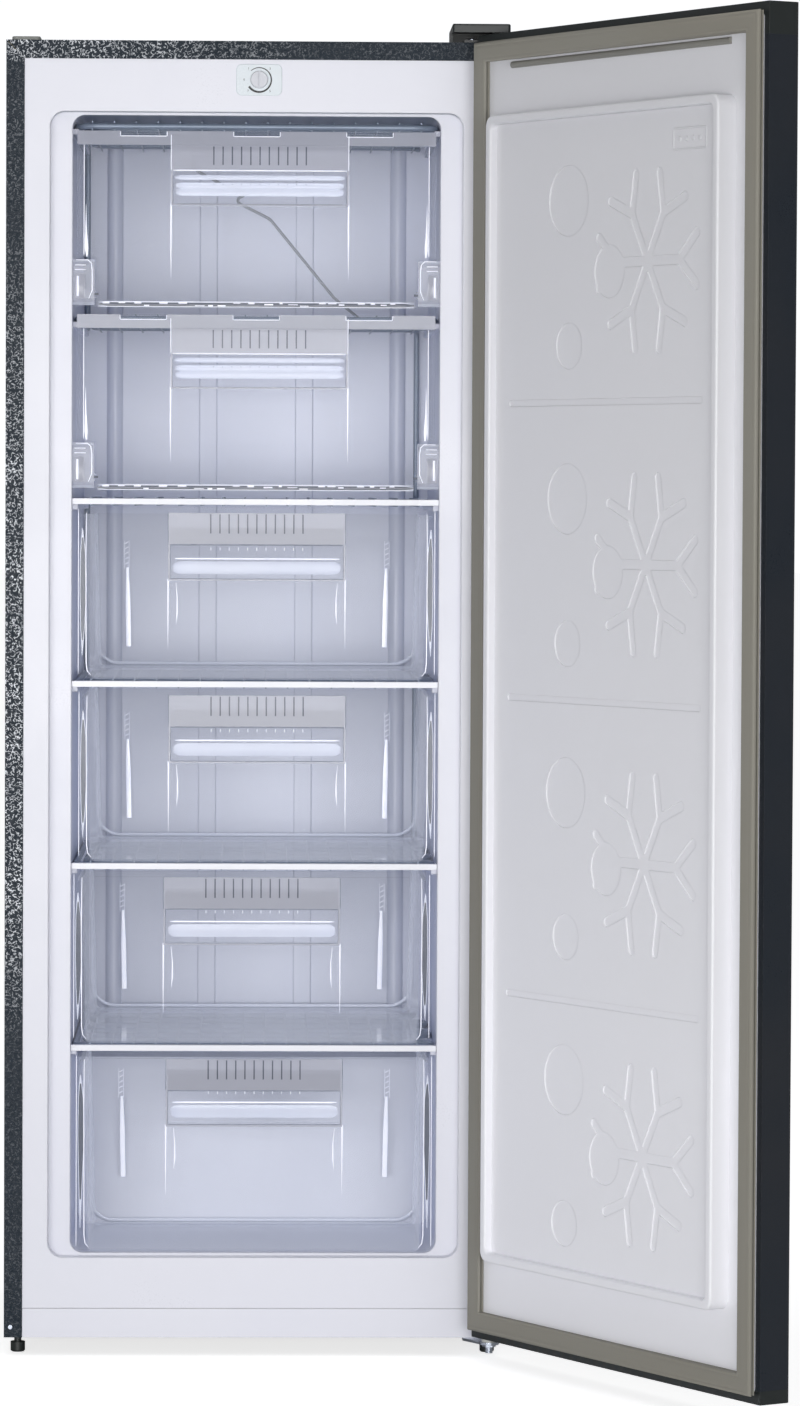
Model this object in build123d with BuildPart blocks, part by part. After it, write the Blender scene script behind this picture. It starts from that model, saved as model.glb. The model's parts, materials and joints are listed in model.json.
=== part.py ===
from build123d import *
import os
from math import atan2, cos, degrees, radians, sin, sqrt

os.makedirs("parts", exist_ok=True)

# An upright freezer with its door open. Millimetres, +X to the right as seen from the front,
# -Y towards the viewer, +Z up. The origin is on the floor under the middle of the cabinet.

# ---------------------------------------------------------------- driving dimensions
# Clearances
running_fit = 0.05  # radial, between a pin and its hole
seat_gap = 0.3  # between pieces that rest on each other but are not joined

# Cabinet
cabinet_width = 545.0
cabinet_depth = 525.0
cabinet_height = 1417.0
foot_height = 20.0
shell_sheet = 1.0
flange_width = 20.0
mitre_slit = 0.5
back_sheet = 1.0
base_sheet = 1.2
rivet_radius = 2.4
rivet_height = 1.2
rivet_inset = 7.0
rivet_rise = 11.5
back_screw_margin = 56.0  # from the back sheet's ends to the outermost screws
back_screw_rows = 4
hinge_cap_width = 31.0
hinge_cap_height = 4.2
hinge_cap_depth = 46.0
hinge_cap_side = 6.0

# Liner: its face, the rebate that takes the door's raised frame, and the storage space
liner_wall = 2.0
liner_tuck = 8.0  # how far the liner's face goes behind the shell's flange
kick_height = 32.0
side_wall = 71.5  # from the cabinet's side to the mouth
back_wall = 75.0
lip_step = 24.0
lip_top_margin = 57.0  # from the flange's inner edge down to the lip
rebate_depth = 18.0
rebate_step = 3.0
rebate_radius = 16.0
mouth_rise = 59.0  # from the kick strip up to the mouth
mouth_radius = 14.0
step_wall = 65.0  # between the compressor's bay and the storage space
step_slope = 25.0
step_rise = 55.0
column_radius = 9.0
column_inset = 36.0
rib_width = 20.0
rib_depth = 2.5
rib_spacing = 112.0
ledge_depth = 6.0
ledge_height = 6.0
ledge_setback = 44.0

# Shelves: wires on both faces of a bent tube, with a white trim on the front
bottom_extra = 25.0  # how much taller the bottom compartment is than the others
top_shelf_drop = 10.5  # from the ceiling down to the middle of the top shelf
tube_radius = 3.25
tube_runs = 7
tube_first = 42.0
tube_tail = 30.0
tube_straight = 8.0
tube_wall_gap = 1.0
tube_exit_inset = 9.75
lead_gap = 3.0
wire_radius = 0.8
wire_gap = 0.02
wire_side_gap = 21.0
wire_count = 16
shelf_front = 34.0
shelf_back_gap = 18.0
riser_inset = 9.0
riser_tail = 0.5
trim_height = 6.5
trim_front = 24.0
trim_depth = 9.0
trim_wall = 1.6

# Front edge and handle block, shared by the drawers and the flaps
front_depth = 27.0
front_side_gap = 5.0
front_plate = 2.5
front_radius = 5.0
handle_width = 190.0
handle_border = 2.0
handle_proud = 1.5
handle_lip = 41.0  # from the top edge down to the lower edge of the grip panel
handle_bottom = 79.0
handle_reach = 25.0  # depth of the finger pocket
handle_rise = 18.0  # how far the finger pocket goes up behind the grip panel
handle_wall = 2.0
groove_count = 11
groove_pitch = 10.1
groove_width = 1.4
groove_depth = 0.8

# Drawers
drawer_front_gap = 11.5  # what a shelf and its clearances take of a compartment's height
drawer_floor_gap = 1.8
drawer_drop = 5.6  # from a shelf's middle down to the drawer front's top edge
drawer_rim = 6.5
drawer_rim_depth = 7.0
drawer_back_gap = 10.0
drawer_body_inset = 7.0
drawer_taper = 5.0
drawer_wall = 2.0
drawer_corner = 8.0
drawer_side_drop = 9.0
drawer_side_rim = 2.5
drawer_groove_start = 8.0
drawer_groove_height = 21.0
drawer_shift = (1.5, 2.5, -2.5, 0.7)  # how far off the middle each drawer stands

# Flaps
flap_gap = 8.0  # what the shelf and its clearances take of a compartment's height
flap_lift = 12.5  # from the shelf's middle up to the flap's bottom edge
flap_bar = 15.0
flap_bar_proud = 2.0
flap_lip = 2.5
flap_lip_depth = 6.0
flap_foot = 6.0
flap_foot_depth = 7.0
flap_return = 10.0
flap_handle_shift = 3.5
flap_handle_lip = 42.5
flap_groove_start = 16.5
flap_groove_height = 20.0
slot_width = 50.7
slot_height = 5.5
slot_spacing = 123.5
web_end = 30.0
pivot_radius = 4.0
pivot_height = 14.0
pivot_depth = 3.5  # behind the flap's front face
pivot_length = 12.0
boss_wall = 2.0
notch_gap = 2.5
block_width = 24.0
block_gap = 2.0
block_height = 50.0
block_lift = 2.0
block_radius = 7.0
block_front = 24.0
block_depth = 18.0

# Thermostat
thermostat_shift = 2.2
thermostat_drop = 42.0  # from the top of the cabinet down to the knob's middle
thermostat_width = 49.7
thermostat_height = 34.0
thermostat_radius = 6.0
thermostat_plate_thickness = 1.5
thermostat_body_width = 36.0
thermostat_body_height = 28.0
thermostat_body_depth = 34.0
knob_radius = 9.5
knob_height = 4.5
knob_slot_width = 2.2
knob_slot_depth = 1.5
knob_shaft_radius = 3.0
knob_shaft_length = 10.0
capillary_radius = 1.6
capillary_turn = 60.0
capillary_bend = 14.0
capillary_tight_bend = 4.0
capillary_start_x = -8.0
capillary_wire_gap = -3  # gap between the wires that the tube drops through, from the middle
capillary_route = (
    (159.0, -40.0, capillary_bend),
    (150.0, -5.5, capillary_tight_bend),
    (141.0, -27.0, capillary_tight_bend),
    (120.0, 15.0, capillary_bend),
    (31.0, 88.0, capillary_bend),
)
capillary_drop_rise = 176.0
capillary_end_x = 118.0

# Door: its faces are counted outwards from the cabinet's front face when the door is shut
door_side_gap = 2.0
door_lift = 5.0  # from the cabinet's bottom edge up to the door's
door_rise = 5.5  # from the cabinet's top up to the door's
door_open_angle = 120.5
hinge_inset = 14.0  # from the cabinet's side to the hinge axis
hinge_reach = 26.0  # from the cabinet's front to the hinge axis
skin_inner = 11.0
skin_outer = 49.5
skin_sheet = 0.8
skin_fold = 12.0
skin_radius = 6.0
top_cap_height = 33.0
bottom_cap_height = 14.0
cap_wall = 2.5
hinge_block_width = 34.0
gasket_face = 0.5
gasket_width = 22.0
gasket_inset = 8.0  # from the cabinet's side to the gasket's outer edge
gasket_rise = 9.0
gasket_top_drop = 3.0
gasket_foot_depth = 2.4
gasket_neck_depth = 1.6
gasket_neck_inset = 3.0
gasket_radius = 2.4
magnet_width = 8.0
magnet_depth = 2.2
magnet_cover = 1.2
liner_flat = 9.0
panel_inset = 8.5
panel_margin = 12.0
panel_radius = 4.0
door_liner_wall = 2.4
dyke_gap = 8.0  # between the raised frame and the cabinet's lip
dyke_height = 23.0
dyke_crest = 10.0
dyke_radius = 12.0
dyke_edge = 2.5
recess_drop = 9.0
emboss = 1.2
ridge_width = 7.0
ridge_inset = 36.5
pattern_fields = 4
ridge_offsets = (-14.7, -5.5, 0.0)  # from the line between two fields
flake_offsets = (-12.0, -16.5, -15.0, -10.2)  # from the middle of each field
flake_shift = -79.5
flake_reach = 93.0
flake_fork = 57.0
flake_angle = 16.6
flake_stroke = 10.5
flake_turn = 30.0
bubble_radii = (37.3, 27.9, 24.4)
bubble_shifts = (147.0, 70.0, 145.0)
bubble_rises = (67.7, -8.5, -85.0)
badge_width = 60.0
badge_height = 23.0
badge_shift = -155.0
badge_drop = 42.0
badge_border = 1.6
badge_radius = 3.0
badge_dots = 4
badge_dot_pitch = 12.0
badge_dot_radius = 2.5
strip_inset = 59.0
strip_shift = -5.0
strip_radius = 3.6
strip_edge = 3.2
strip_drop = 36.0

# Hinges
pin_radius = 4.0
pin_engagement = 12.0
pin_tip_gap = 1.0
bush_wall = 2.5
bush_collar = 1.2
bush_collar_radius = 8.0
bracket_plate = 3.0
bracket_nose = 11.0
bracket_setback = 2.0
top_bracket_width = 44.0
top_bracket_back = 60.0
arm_gap = 1.8
cover_width = 63.0
cover_height = 17.0
cover_wall = 1.8
cover_back = 72.0
cover_overhang = 42.0
cover_side = 1.5
cover_lift = 2.2
cover_radius = 3.0
bottom_bracket_width = 39.0
bottom_bracket_back = 66.0
top_screw_inset = 9.0  # from the bracket's sides to the screws' middles
top_screw_front = 18.0
top_screw_back = 50.0
bottom_screw_inset = 8.0
bottom_screw_front = 18.0
bottom_screw_back = 54.0
screw_radius = 2.5
screw_head_radius = 5.0
screw_head_height = 2.5
pin_nut_radius = 7.5
pin_nut_tail = 7.0

# Feet
foot_inset = 14.0
foot_setback = 34.0
foot_pad_radius = 8.0
foot_pad_height = 11.0
foot_stud_radius = 4.0
foot_stud_length = 26.0
rear_foot_width = 40.0
rear_foot_depth = 26.0
rear_foot_setback = 30.0

# Compressor bay and what stands in it
bay_depth = 195.0
bay_height = 225.0
compressor_shelf_depth = 150.0
compressor_shelf_sheet = 2.0
compressor_shelf_rise = 14.0
compressor_x = 20.0
compressor_setback = 98.0
compressor_radius = 62.0
compressor_stretch = 46.0
compressor_height = 140.0
compressor_dome = 28.0
compressor_foot_width = 196.0
compressor_foot_depth = 106.0
compressor_foot_plate = 3.0
seam_width = 5.0
seam_height = 4.0
seam_level = 68.0
mount_radius = 9.0
mount_height = 14.0
mount_bolt_radius = 3.0
mount_spacing_x = 170.0
mount_spacing_y = 80.0
terminal_width = 30.0
terminal_depth = 56.0
terminal_height = 62.0
terminal_rise = 30.0
terminal_overlap = 20.0
cord_inlet_radius = 5.0
cord_inlet_length = 15.0
gland_level = 50.0  # from the compressor's foot plate up to the cord inlet's middle
gland_length = 10.0
gland_wall = 2.5
pipe_radius = 3.0
pipe_bend = 12.0
pipe_offset = 15.0
discharge_rise = 84.0
suction_gap = 22.0
drier_radius = 9.0
drier_length = 90.0
drier_x = 195.0
drier_setback = 34.0
drier_rise = 40.0

# Condenser on the back
condenser_inset = 52.5
condenser_bottom = 330.0
condenser_lead = 40.0
condenser_pitch = 50.0
condenser_runs = 19
condenser_tube_radius = 2.5
condenser_bend = 22.0
condenser_return = 16.0
condenser_standoff = 16.0
condenser_wire_radius = 0.8
condenser_wire_count = 18
condenser_wire_inset = 50.0
condenser_wire_overlap = 8.0
condenser_bracket_width = 12.0
condenser_bracket_height = 14.0
condenser_bracket_inset = 37.0

# ---------------------------------------------------------------- derived places
half_width = cabinet_width / 2
inner_half = half_width - shell_sheet
front_y = -cabinet_depth / 2
back_y = cabinet_depth / 2
cabinet_top = foot_height + cabinet_height
kick_top = foot_height + kick_height
flange_inner = half_width - flange_width
flange_bottom = cabinet_top - flange_width
face_width = 2 * (flange_inner + liner_tuck)
lip_top = flange_bottom - lip_top_margin
mouth_bottom = kick_top + mouth_rise
lip_bottom = mouth_bottom - rebate_step
mouth_width = cabinet_width - 2 * side_wall
lip_width = mouth_width + 2 * lip_step
mouth_top = lip_top - rebate_step
foam_front_y = front_y + shell_sheet + liner_wall
bay_front_y = back_y - bay_depth
bay_top = foot_height + bay_height
rivet_x = half_width - rivet_inset
rivet_level = foot_height + rivet_rise
back_screw_pitch = (cabinet_top - bay_top - 2 * back_screw_margin) / (back_screw_rows - 1)
storage_depth = cabinet_depth - back_wall
step_front = cabinet_depth - bay_depth - step_wall
step_shoulder = step_front + step_slope
step_top = bay_top + step_rise
column_spacing = mouth_width - 2 * column_inset

shelf_pitch = (mouth_top - mouth_bottom - 2 * top_shelf_drop - bottom_extra) / 6
top_shelf = mouth_top - top_shelf_drop
upper_shelf = top_shelf - top_shelf_drop - shelf_pitch
first_shelf = upper_shelf - shelf_pitch
shelf_levels = [first_shelf - shelf_pitch * index for index in range(4)]
all_shelf_levels = [top_shelf, upper_shelf] + shelf_levels
shelf_reach = storage_depth - shelf_back_gap
shelf_back = front_y + shelf_reach
tube_pitch = (shelf_reach - tube_first - tube_tail) / (tube_runs - 1)
tube_bend = (tube_pitch - tube_straight) / 2
wire_spacing = (mouth_width - 2 * wire_side_gap) / (wire_count - 1)
capillary_depth = tube_first + tube_pitch * tube_runs / 2
capillary_drop_x = wire_spacing * capillary_wire_gap
shelf_half_height = tube_radius + wire_gap + 2 * wire_radius
tube_reach = mouth_width / 2 - tube_wall_gap - tube_radius
tube_exit_x = tube_reach - tube_exit_inset
ledge_start = front_y + ledge_setback
ledge_middle = (mouth_width - ledge_depth) / 2

front_width = mouth_width - 2 * front_side_gap
drawer_body_width = front_width - 2 * drawer_body_inset
drawer_front_height = shelf_pitch - drawer_front_gap
bottom_drawer_front_height = shelf_levels[-1] - drawer_drop - drawer_floor_gap - mouth_bottom
drawer_length = shelf_reach - front_depth - drawer_back_gap
bottom_drawer_length = step_front - front_depth - drawer_back_gap
flap_height = shelf_pitch - flap_gap
notch_inner = mouth_width / 2 - block_width - block_gap

knob_level = cabinet_top - thermostat_drop
thermostat_back_y = foam_front_y + thermostat_body_depth

front_plane = Plane(origin=(0, front_y, 0), x_dir=(1, 0, 0), z_dir=(0, -1, 0))

hinge_x = half_width - hinge_inset
hinge_y = front_y - hinge_reach
swing = (
    Location((hinge_x, hinge_y, 0))
    * Location((0, 0, 0), (0, 0, door_open_angle))
    * Location((-hinge_x, -hinge_y, 0))
)
door_width = cabinet_width - 2 * door_side_gap
door_bottom = foot_height + door_lift
door_top = cabinet_top + door_rise
door_plane = Plane(swing * front_plane.location)
door_outward = Axis(door_plane.origin, door_plane.z_dir)
skin_bottom = door_bottom + bottom_cap_height
skin_top = door_top - top_cap_height
fold_opening = door_width - 2 * skin_fold
panel_width = door_width - 2 * panel_inset
panel_bottom = door_bottom + panel_margin
panel_top = door_top - panel_margin
crest_face = liner_flat - dyke_height
recess_face = crest_face + recess_drop
dyke_width = lip_width - 2 * dyke_gap
dyke_bottom = lip_bottom + dyke_gap
dyke_top = lip_top - dyke_gap
dyke_middle = (dyke_bottom + dyke_top) / 2
field_height = (dyke_top - dyke_bottom) / pattern_fields
flake_levels = [
    dyke_bottom + field_height * (index + 1 / 2) + offset
    for index, offset in enumerate(flake_offsets)
]
ridge_levels = [
    dyke_bottom + field_height * (index + 1) + offset
    for index, offset in enumerate(ridge_offsets)
]
ridge_length = dyke_width - 2 * ridge_inset
badge_level = dyke_top - badge_drop
strip_length = panel_width - 2 * strip_inset
strip_level = door_top - strip_drop
gasket_bottom = door_bottom + gasket_rise
gasket_top = cabinet_top - gasket_top_drop
bush_radius = pin_radius + running_fit + bush_wall

top_arm_level = door_top + bush_collar + arm_gap
bracket_right = hinge_x + bracket_nose
top_screw_spots = [
    (bracket_right - top_bracket_width + top_screw_inset, front_y + top_screw_front),
    (bracket_right - top_bracket_width + top_screw_inset, front_y + top_screw_back),
    (bracket_right - top_screw_inset, front_y + top_screw_back),
]
foot_x = half_width - foot_inset
foot_y = front_y + foot_setback
bottom_screw_spots = [
    (bracket_right - bottom_bracket_width + bottom_screw_inset, front_y + bottom_screw_front),
    (bracket_right - bottom_bracket_width + bottom_screw_inset, front_y + bottom_screw_back),
]

compressor_y = back_y - compressor_setback
plate_top = foot_height + compressor_shelf_sheet + mount_height + compressor_foot_plate
suction_y = compressor_y - compressor_radius - suction_gap
drier_y = back_y - drier_setback
drier_bottom = foot_height + compressor_shelf_sheet + drier_rise
drier_top = drier_bottom + drier_length
condenser_y = back_y + condenser_standoff
condenser_width = cabinet_width - 2 * condenser_inset
condenser_half = condenser_width / 2
condenser_wire_spacing = (condenser_width - 2 * condenser_wire_inset) / (condenser_wire_count - 1)
condenser_start = condenser_bottom - condenser_lead
condenser_return_x = condenser_half + condenser_return


def depth_plane(depth):
    """Upright plane at this depth behind the cabinet's front; its normal faces the viewer."""
    return front_plane.offset(-depth)


def door_face(outward):
    """Plane of the door, this far out from the cabinet's front when the door is shut."""
    return door_plane.offset(outward)


def door_level(height):
    """Level plane whose X and Y are those of the shut door."""
    return Plane(swing * Location((0, 0, height)))


def finish(piece, label):
    """Names a finished piece and writes it."""
    piece.part.label = label
    export_step(piece.part, f"parts/{label}.step")


# ---------------------------------------------------------------- cabinet shell and back
with BuildPart() as outer_shell:
    with BuildSketch(front_plane):
        with Locations((0, foot_height)):
            Rectangle(cabinet_width, cabinet_height, align=(Align.CENTER, Align.MIN))
            Rectangle(
                2 * inner_half,
                cabinet_height - shell_sheet,
                align=(Align.CENTER, Align.MIN),
                mode=Mode.SUBTRACT,
            )
    extrude(amount=-cabinet_depth)
    with BuildSketch(front_plane):
        with Locations((0, foot_height)):
            Rectangle(cabinet_width, cabinet_height, align=(Align.CENTER, Align.MIN))
            Rectangle(
                2 * flange_inner,
                cabinet_height - flange_width,
                align=(Align.CENTER, Align.MIN),
                mode=Mode.SUBTRACT,
            )
    extrude(amount=-shell_sheet)
    slit_half = (flange_width - 2 * shell_sheet) / 2
    slit_length = 2 * slit_half * sqrt(2) + mitre_slit
    for side in (-1, 1):
        with BuildSketch(front_plane):
            with Locations((side * (flange_inner + slit_half), flange_bottom + slit_half)):
                Rectangle(slit_length, mitre_slit, rotation=side * 45)
        extrude(amount=-shell_sheet, mode=Mode.SUBTRACT)
    with BuildSketch(Plane.XY.offset(cabinet_top)):
        with Locations(*top_screw_spots):
            Circle(screw_radius + running_fit)
    extrude(amount=-shell_sheet, mode=Mode.SUBTRACT)
finish(outer_shell, "outer_shell")

with BuildPart() as back_panel:
    with BuildSketch(Plane.XZ.offset(-back_y)):
        with Locations((0, bay_top)):
            Rectangle(
                2 * inner_half,
                cabinet_top - shell_sheet - bay_top,
                align=(Align.CENTER, Align.MIN),
            )
    extrude(amount=back_sheet)
finish(back_panel, "back_panel")

with BuildPart() as base_panel:
    with BuildSketch(Plane.YZ):
        with BuildLine():
            Polyline(
                (foam_front_y, foot_height),
                (bay_front_y, foot_height),
                (bay_front_y, bay_top - base_sheet),
                (back_y, bay_top - base_sheet),
                (back_y, bay_top),
                (bay_front_y - base_sheet, bay_top),
                (bay_front_y - base_sheet, foot_height + base_sheet),
                (foam_front_y, foot_height + base_sheet),
                close=True,
            )
        make_face()
    extrude(amount=inner_half, both=True)
    with BuildSketch(Plane.XY.offset(foot_height)):
        with Locations((-foot_x, foot_y), (foot_x, foot_y)):
            Circle(foot_stud_radius + running_fit)
        with Locations(*bottom_screw_spots):
            Circle(screw_radius + running_fit)
    extrude(amount=base_sheet, mode=Mode.SUBTRACT)
finish(base_panel, "base_panel")


# ---------------------------------------------------------------- liner and insulation
def storage_space(grow):
    """The storage space behind the rebate, with the step over the compressor, grown by a wall."""
    with BuildPart() as space:
        with BuildSketch(depth_plane(rebate_depth)):
            with Locations((0, (mouth_bottom + mouth_top) / 2)):
                RectangleRounded(
                    mouth_width + 2 * grow, mouth_top - mouth_bottom + 2 * grow, mouth_radius + grow
                )
        extrude(amount=-(storage_depth - rebate_depth + grow))
        with BuildSketch(Plane.YZ):
            with BuildLine():
                Polyline(
                    (front_y + step_front + grow, mouth_bottom - 2 * liner_wall),
                    (front_y + step_front + grow, mouth_bottom),
                    (front_y + step_shoulder + grow, step_top - grow),
                    (front_y + storage_depth + 2 * liner_wall, step_top - grow),
                    (front_y + storage_depth + 2 * liner_wall, mouth_bottom - 2 * liner_wall),
                    close=True,
                )
            make_face()
        extrude(amount=mouth_width, both=True, mode=Mode.SUBTRACT)
    return space.part


def rebate_space(grow):
    """The shallow step behind the liner's face that takes the door's raised frame."""
    with BuildPart() as space:
        with BuildSketch(depth_plane(shell_sheet)):
            with Locations((0, (lip_bottom + lip_top) / 2)):
                RectangleRounded(
                    lip_width + 2 * grow, lip_top - lip_bottom + 2 * grow, rebate_radius + grow
                )
        extrude(amount=-(rebate_depth - shell_sheet + grow))
    return space.part


def capillary_run(radius):
    """The sensor's thin tube, from behind the thermostat down into the top compartment."""
    capillary_y = front_y + capillary_depth
    rest_level = upper_shelf + shelf_half_height + capillary_radius + seat_gap
    hanging = [(x, capillary_y, upper_shelf + rise) for rise, x, bend in capillary_route]
    bends = [bend for rise, x, bend in capillary_route]
    with BuildPart() as run:
        with BuildLine() as route:
            FilletPolyline(
                (capillary_start_x, thermostat_back_y, knob_level),
                (capillary_start_x, capillary_y - capillary_turn, knob_level),
                (capillary_drop_x, capillary_y, knob_level),
                (capillary_drop_x, capillary_y, upper_shelf + capillary_drop_rise),
                *hanging,
                (capillary_end_x, capillary_y, rest_level),
                radius=[capillary_bend] * 3 + bends,
            )
        with BuildSketch(Plane(origin=route.wire() @ 0, z_dir=route.wire() % 0)):
            Circle(radius)
        sweep(path=route.wire())
    return run.part


storage = storage_space(0)
storage_outside = storage_space(liner_wall)
rebate = rebate_space(0)
rebate_outside = rebate_space(liner_wall)
capillary_channel = capillary_run(capillary_radius + seat_gap)

with BuildPart() as inner_liner:
    with BuildSketch(depth_plane(shell_sheet)):
        with Locations((0, kick_top)):
            Rectangle(face_width, flange_bottom + liner_tuck - kick_top, align=(Align.CENTER, Align.MIN))
        with Locations((thermostat_shift, knob_level)):
            Circle(knob_shaft_radius + running_fit, mode=Mode.SUBTRACT)
    extrude(amount=-liner_wall)
    add(rebate_outside)
    add(storage_outside)
    add(rebate, mode=Mode.SUBTRACT)
    add(storage, mode=Mode.SUBTRACT)
    # rounded columns and shallow ribs on the back wall
    with BuildSketch(Plane.XY.offset(step_top)):
        with Locations((0, front_y + storage_depth)):
            with GridLocations(column_spacing, 0, 2, 1):
                Circle(column_radius)
            with GridLocations(rib_spacing, 0, 2, 1):
                Rectangle(rib_width, 2 * rib_depth)
        with Locations((0, front_y + storage_depth + liner_wall / 2)):
            Rectangle(
                mouth_width,
                2 * column_radius,
                align=(Align.CENTER, Align.MIN),
                mode=Mode.SUBTRACT,
            )
    extrude(amount=mouth_top - step_top)
    add(capillary_channel, mode=Mode.SUBTRACT)
finish(inner_liner, "inner_liner")

# strips on the side walls that carry the shelves
with BuildPart() as shelf_ledges:
    for level in all_shelf_levels:
        with BuildSketch(Plane.XY.offset(level - tube_radius - ledge_height)):
            with Locations((-ledge_middle, ledge_start), (ledge_middle, ledge_start)):
                Rectangle(ledge_depth, shelf_back - ledge_start, align=(Align.CENTER, Align.MIN))
        extrude(amount=ledge_height)
    add(storage, mode=Mode.INTERSECT)
finish(shelf_ledges, "shelf_ledges")

with BuildPart() as cabinet_insulation:
    with BuildSketch(Plane.YZ):
        with BuildLine():
            Polyline(
                (foam_front_y, foot_height + base_sheet),
                (bay_front_y - base_sheet, foot_height + base_sheet),
                (bay_front_y - base_sheet, bay_top),
                (back_y - back_sheet, bay_top),
                (back_y - back_sheet, cabinet_top - shell_sheet),
                (foam_front_y, cabinet_top - shell_sheet),
                close=True,
            )
        make_face()
    extrude(amount=inner_half, both=True)
    add(rebate_outside, mode=Mode.SUBTRACT)
    add(storage_outside, mode=Mode.SUBTRACT)
    with BuildSketch(Plane.XZ.offset(-foam_front_y)):
        with Locations((thermostat_shift, knob_level)):
            Rectangle(thermostat_body_width, thermostat_body_height)
    extrude(amount=-thermostat_body_depth, mode=Mode.SUBTRACT)
    add(capillary_channel, mode=Mode.SUBTRACT)
    with BuildSketch(Plane.XY.offset(foot_height + base_sheet)):
        with Locations((-foot_x, foot_y), (foot_x, foot_y)):
            Circle(foot_stud_radius + seat_gap)
    extrude(amount=foot_stud_length, mode=Mode.SUBTRACT)
finish(cabinet_insulation, "cabinet_insulation")

with BuildPart() as kick_strip:
    with BuildSketch(depth_plane(shell_sheet)):
        with Locations((0, foot_height)):
            Rectangle(face_width, kick_height - seat_gap, align=(Align.CENTER, Align.MIN))
    extrude(amount=-liner_wall)
finish(kick_strip, "kick_strip")

with BuildPart() as hinge_hole_cap:
    with BuildSketch(Plane.XY.offset(cabinet_top)):
        with Locations(
            (-half_width + hinge_cap_side + hinge_cap_width / 2, front_y + hinge_cap_side)
        ):
            Rectangle(hinge_cap_width, hinge_cap_depth, align=(Align.CENTER, Align.MIN))
    extrude(amount=hinge_cap_height)
    fillet(hinge_hole_cap.edges().filter_by(Axis.Z), hinge_cap_height)
    fillet(hinge_hole_cap.faces().sort_by(Axis.Z)[-1].edges(), hinge_cap_height / 3)
finish(hinge_hole_cap, "hinge_hole_cap")

with BuildPart() as shell_screws:
    with BuildSketch(front_plane):
        with Locations((-rivet_x, rivet_level), (rivet_x, rivet_level)):
            Circle(rivet_radius)
    extrude(amount=rivet_height)
    with BuildSketch(Plane.XZ.offset(-back_y)):
        with Locations((0, (bay_top + cabinet_top) / 2)):
            with GridLocations(2 * rivet_x, back_screw_pitch, 2, back_screw_rows):
                Circle(rivet_radius)
    extrude(amount=-rivet_height)
finish(shell_screws, "shell_screws")

# ---------------------------------------------------------------- thermostat
with BuildPart() as thermostat_plate:
    with BuildSketch(depth_plane(shell_sheet)):
        with Locations((thermostat_shift, knob_level)):
            RectangleRounded(thermostat_width, thermostat_height, thermostat_radius)
            Circle(knob_shaft_radius + running_fit, mode=Mode.SUBTRACT)
    extrude(amount=thermostat_plate_thickness)
    chamfer(
        thermostat_plate.faces().sort_by(Axis.Y)[0].outer_wire().edges(),
        thermostat_plate_thickness / 3,
    )
finish(thermostat_plate, "thermostat_plate")

with BuildPart() as thermostat_body:
    with BuildSketch(Plane.XZ.offset(-foam_front_y)):
        with Locations((thermostat_shift, knob_level)):
            Rectangle(thermostat_body_width, thermostat_body_height)
    extrude(amount=-thermostat_body_depth)
    with BuildSketch(Plane.XZ.offset(-foam_front_y)):
        with Locations((thermostat_shift, knob_level)):
            Circle(knob_shaft_radius + running_fit)
    extrude(amount=-(knob_shaft_length + seat_gap), mode=Mode.SUBTRACT)
finish(thermostat_body, "thermostat_body")

with BuildPart() as thermostat_knob:
    knob_back = shell_sheet - thermostat_plate_thickness - seat_gap
    with BuildSketch(depth_plane(knob_back)):
        with Locations((thermostat_shift, knob_level)):
            Circle(knob_radius)
    extrude(amount=knob_height)
    chamfer(thermostat_knob.faces().sort_by(Axis.Y)[0].edges(), knob_height / 5)
    with BuildSketch(depth_plane(knob_back - knob_height)):
        with Locations((thermostat_shift, knob_level)):
            Rectangle(knob_slot_width, 2 * knob_radius)
    extrude(amount=-knob_slot_depth, mode=Mode.SUBTRACT)
    with BuildSketch(depth_plane(knob_back)):
        with Locations((thermostat_shift, knob_level)):
            Circle(knob_shaft_radius)
    extrude(amount=-(shell_sheet + liner_wall - knob_back + knob_shaft_length))
finish(thermostat_knob, "thermostat_knob")

with BuildPart() as sensor_capillary:
    add(capillary_run(capillary_radius))
finish(sensor_capillary, "sensor_capillary")

# ---------------------------------------------------------------- feet
for side, name in ((-1, "front_foot_left"), (1, "front_foot_right")):
    with BuildPart() as front_foot:
        with BuildSketch(Plane.XY):
            with Locations((side * foot_x, foot_y)):
                Circle(foot_pad_radius)
        extrude(amount=foot_pad_height)
        chamfer(front_foot.faces().sort_by(Axis.Z)[0].edges(), foot_pad_height / 8)
        with BuildSketch(Plane.XY.offset(foot_pad_height)):
            with Locations((side * foot_x, foot_y)):
                Circle(foot_stud_radius)
        extrude(amount=foot_stud_length)
    finish(front_foot, name)

with BuildPart() as rear_feet:
    with BuildSketch(Plane.XY):
        with Locations((0, back_y - rear_foot_setback)):
            with GridLocations(2 * (foot_x - rear_foot_width / 2), 0, 2, 1):
                RectangleRounded(rear_foot_width, rear_foot_depth, rear_foot_depth / 4)
    extrude(amount=foot_height)
finish(rear_feet, "rear_feet")

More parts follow.
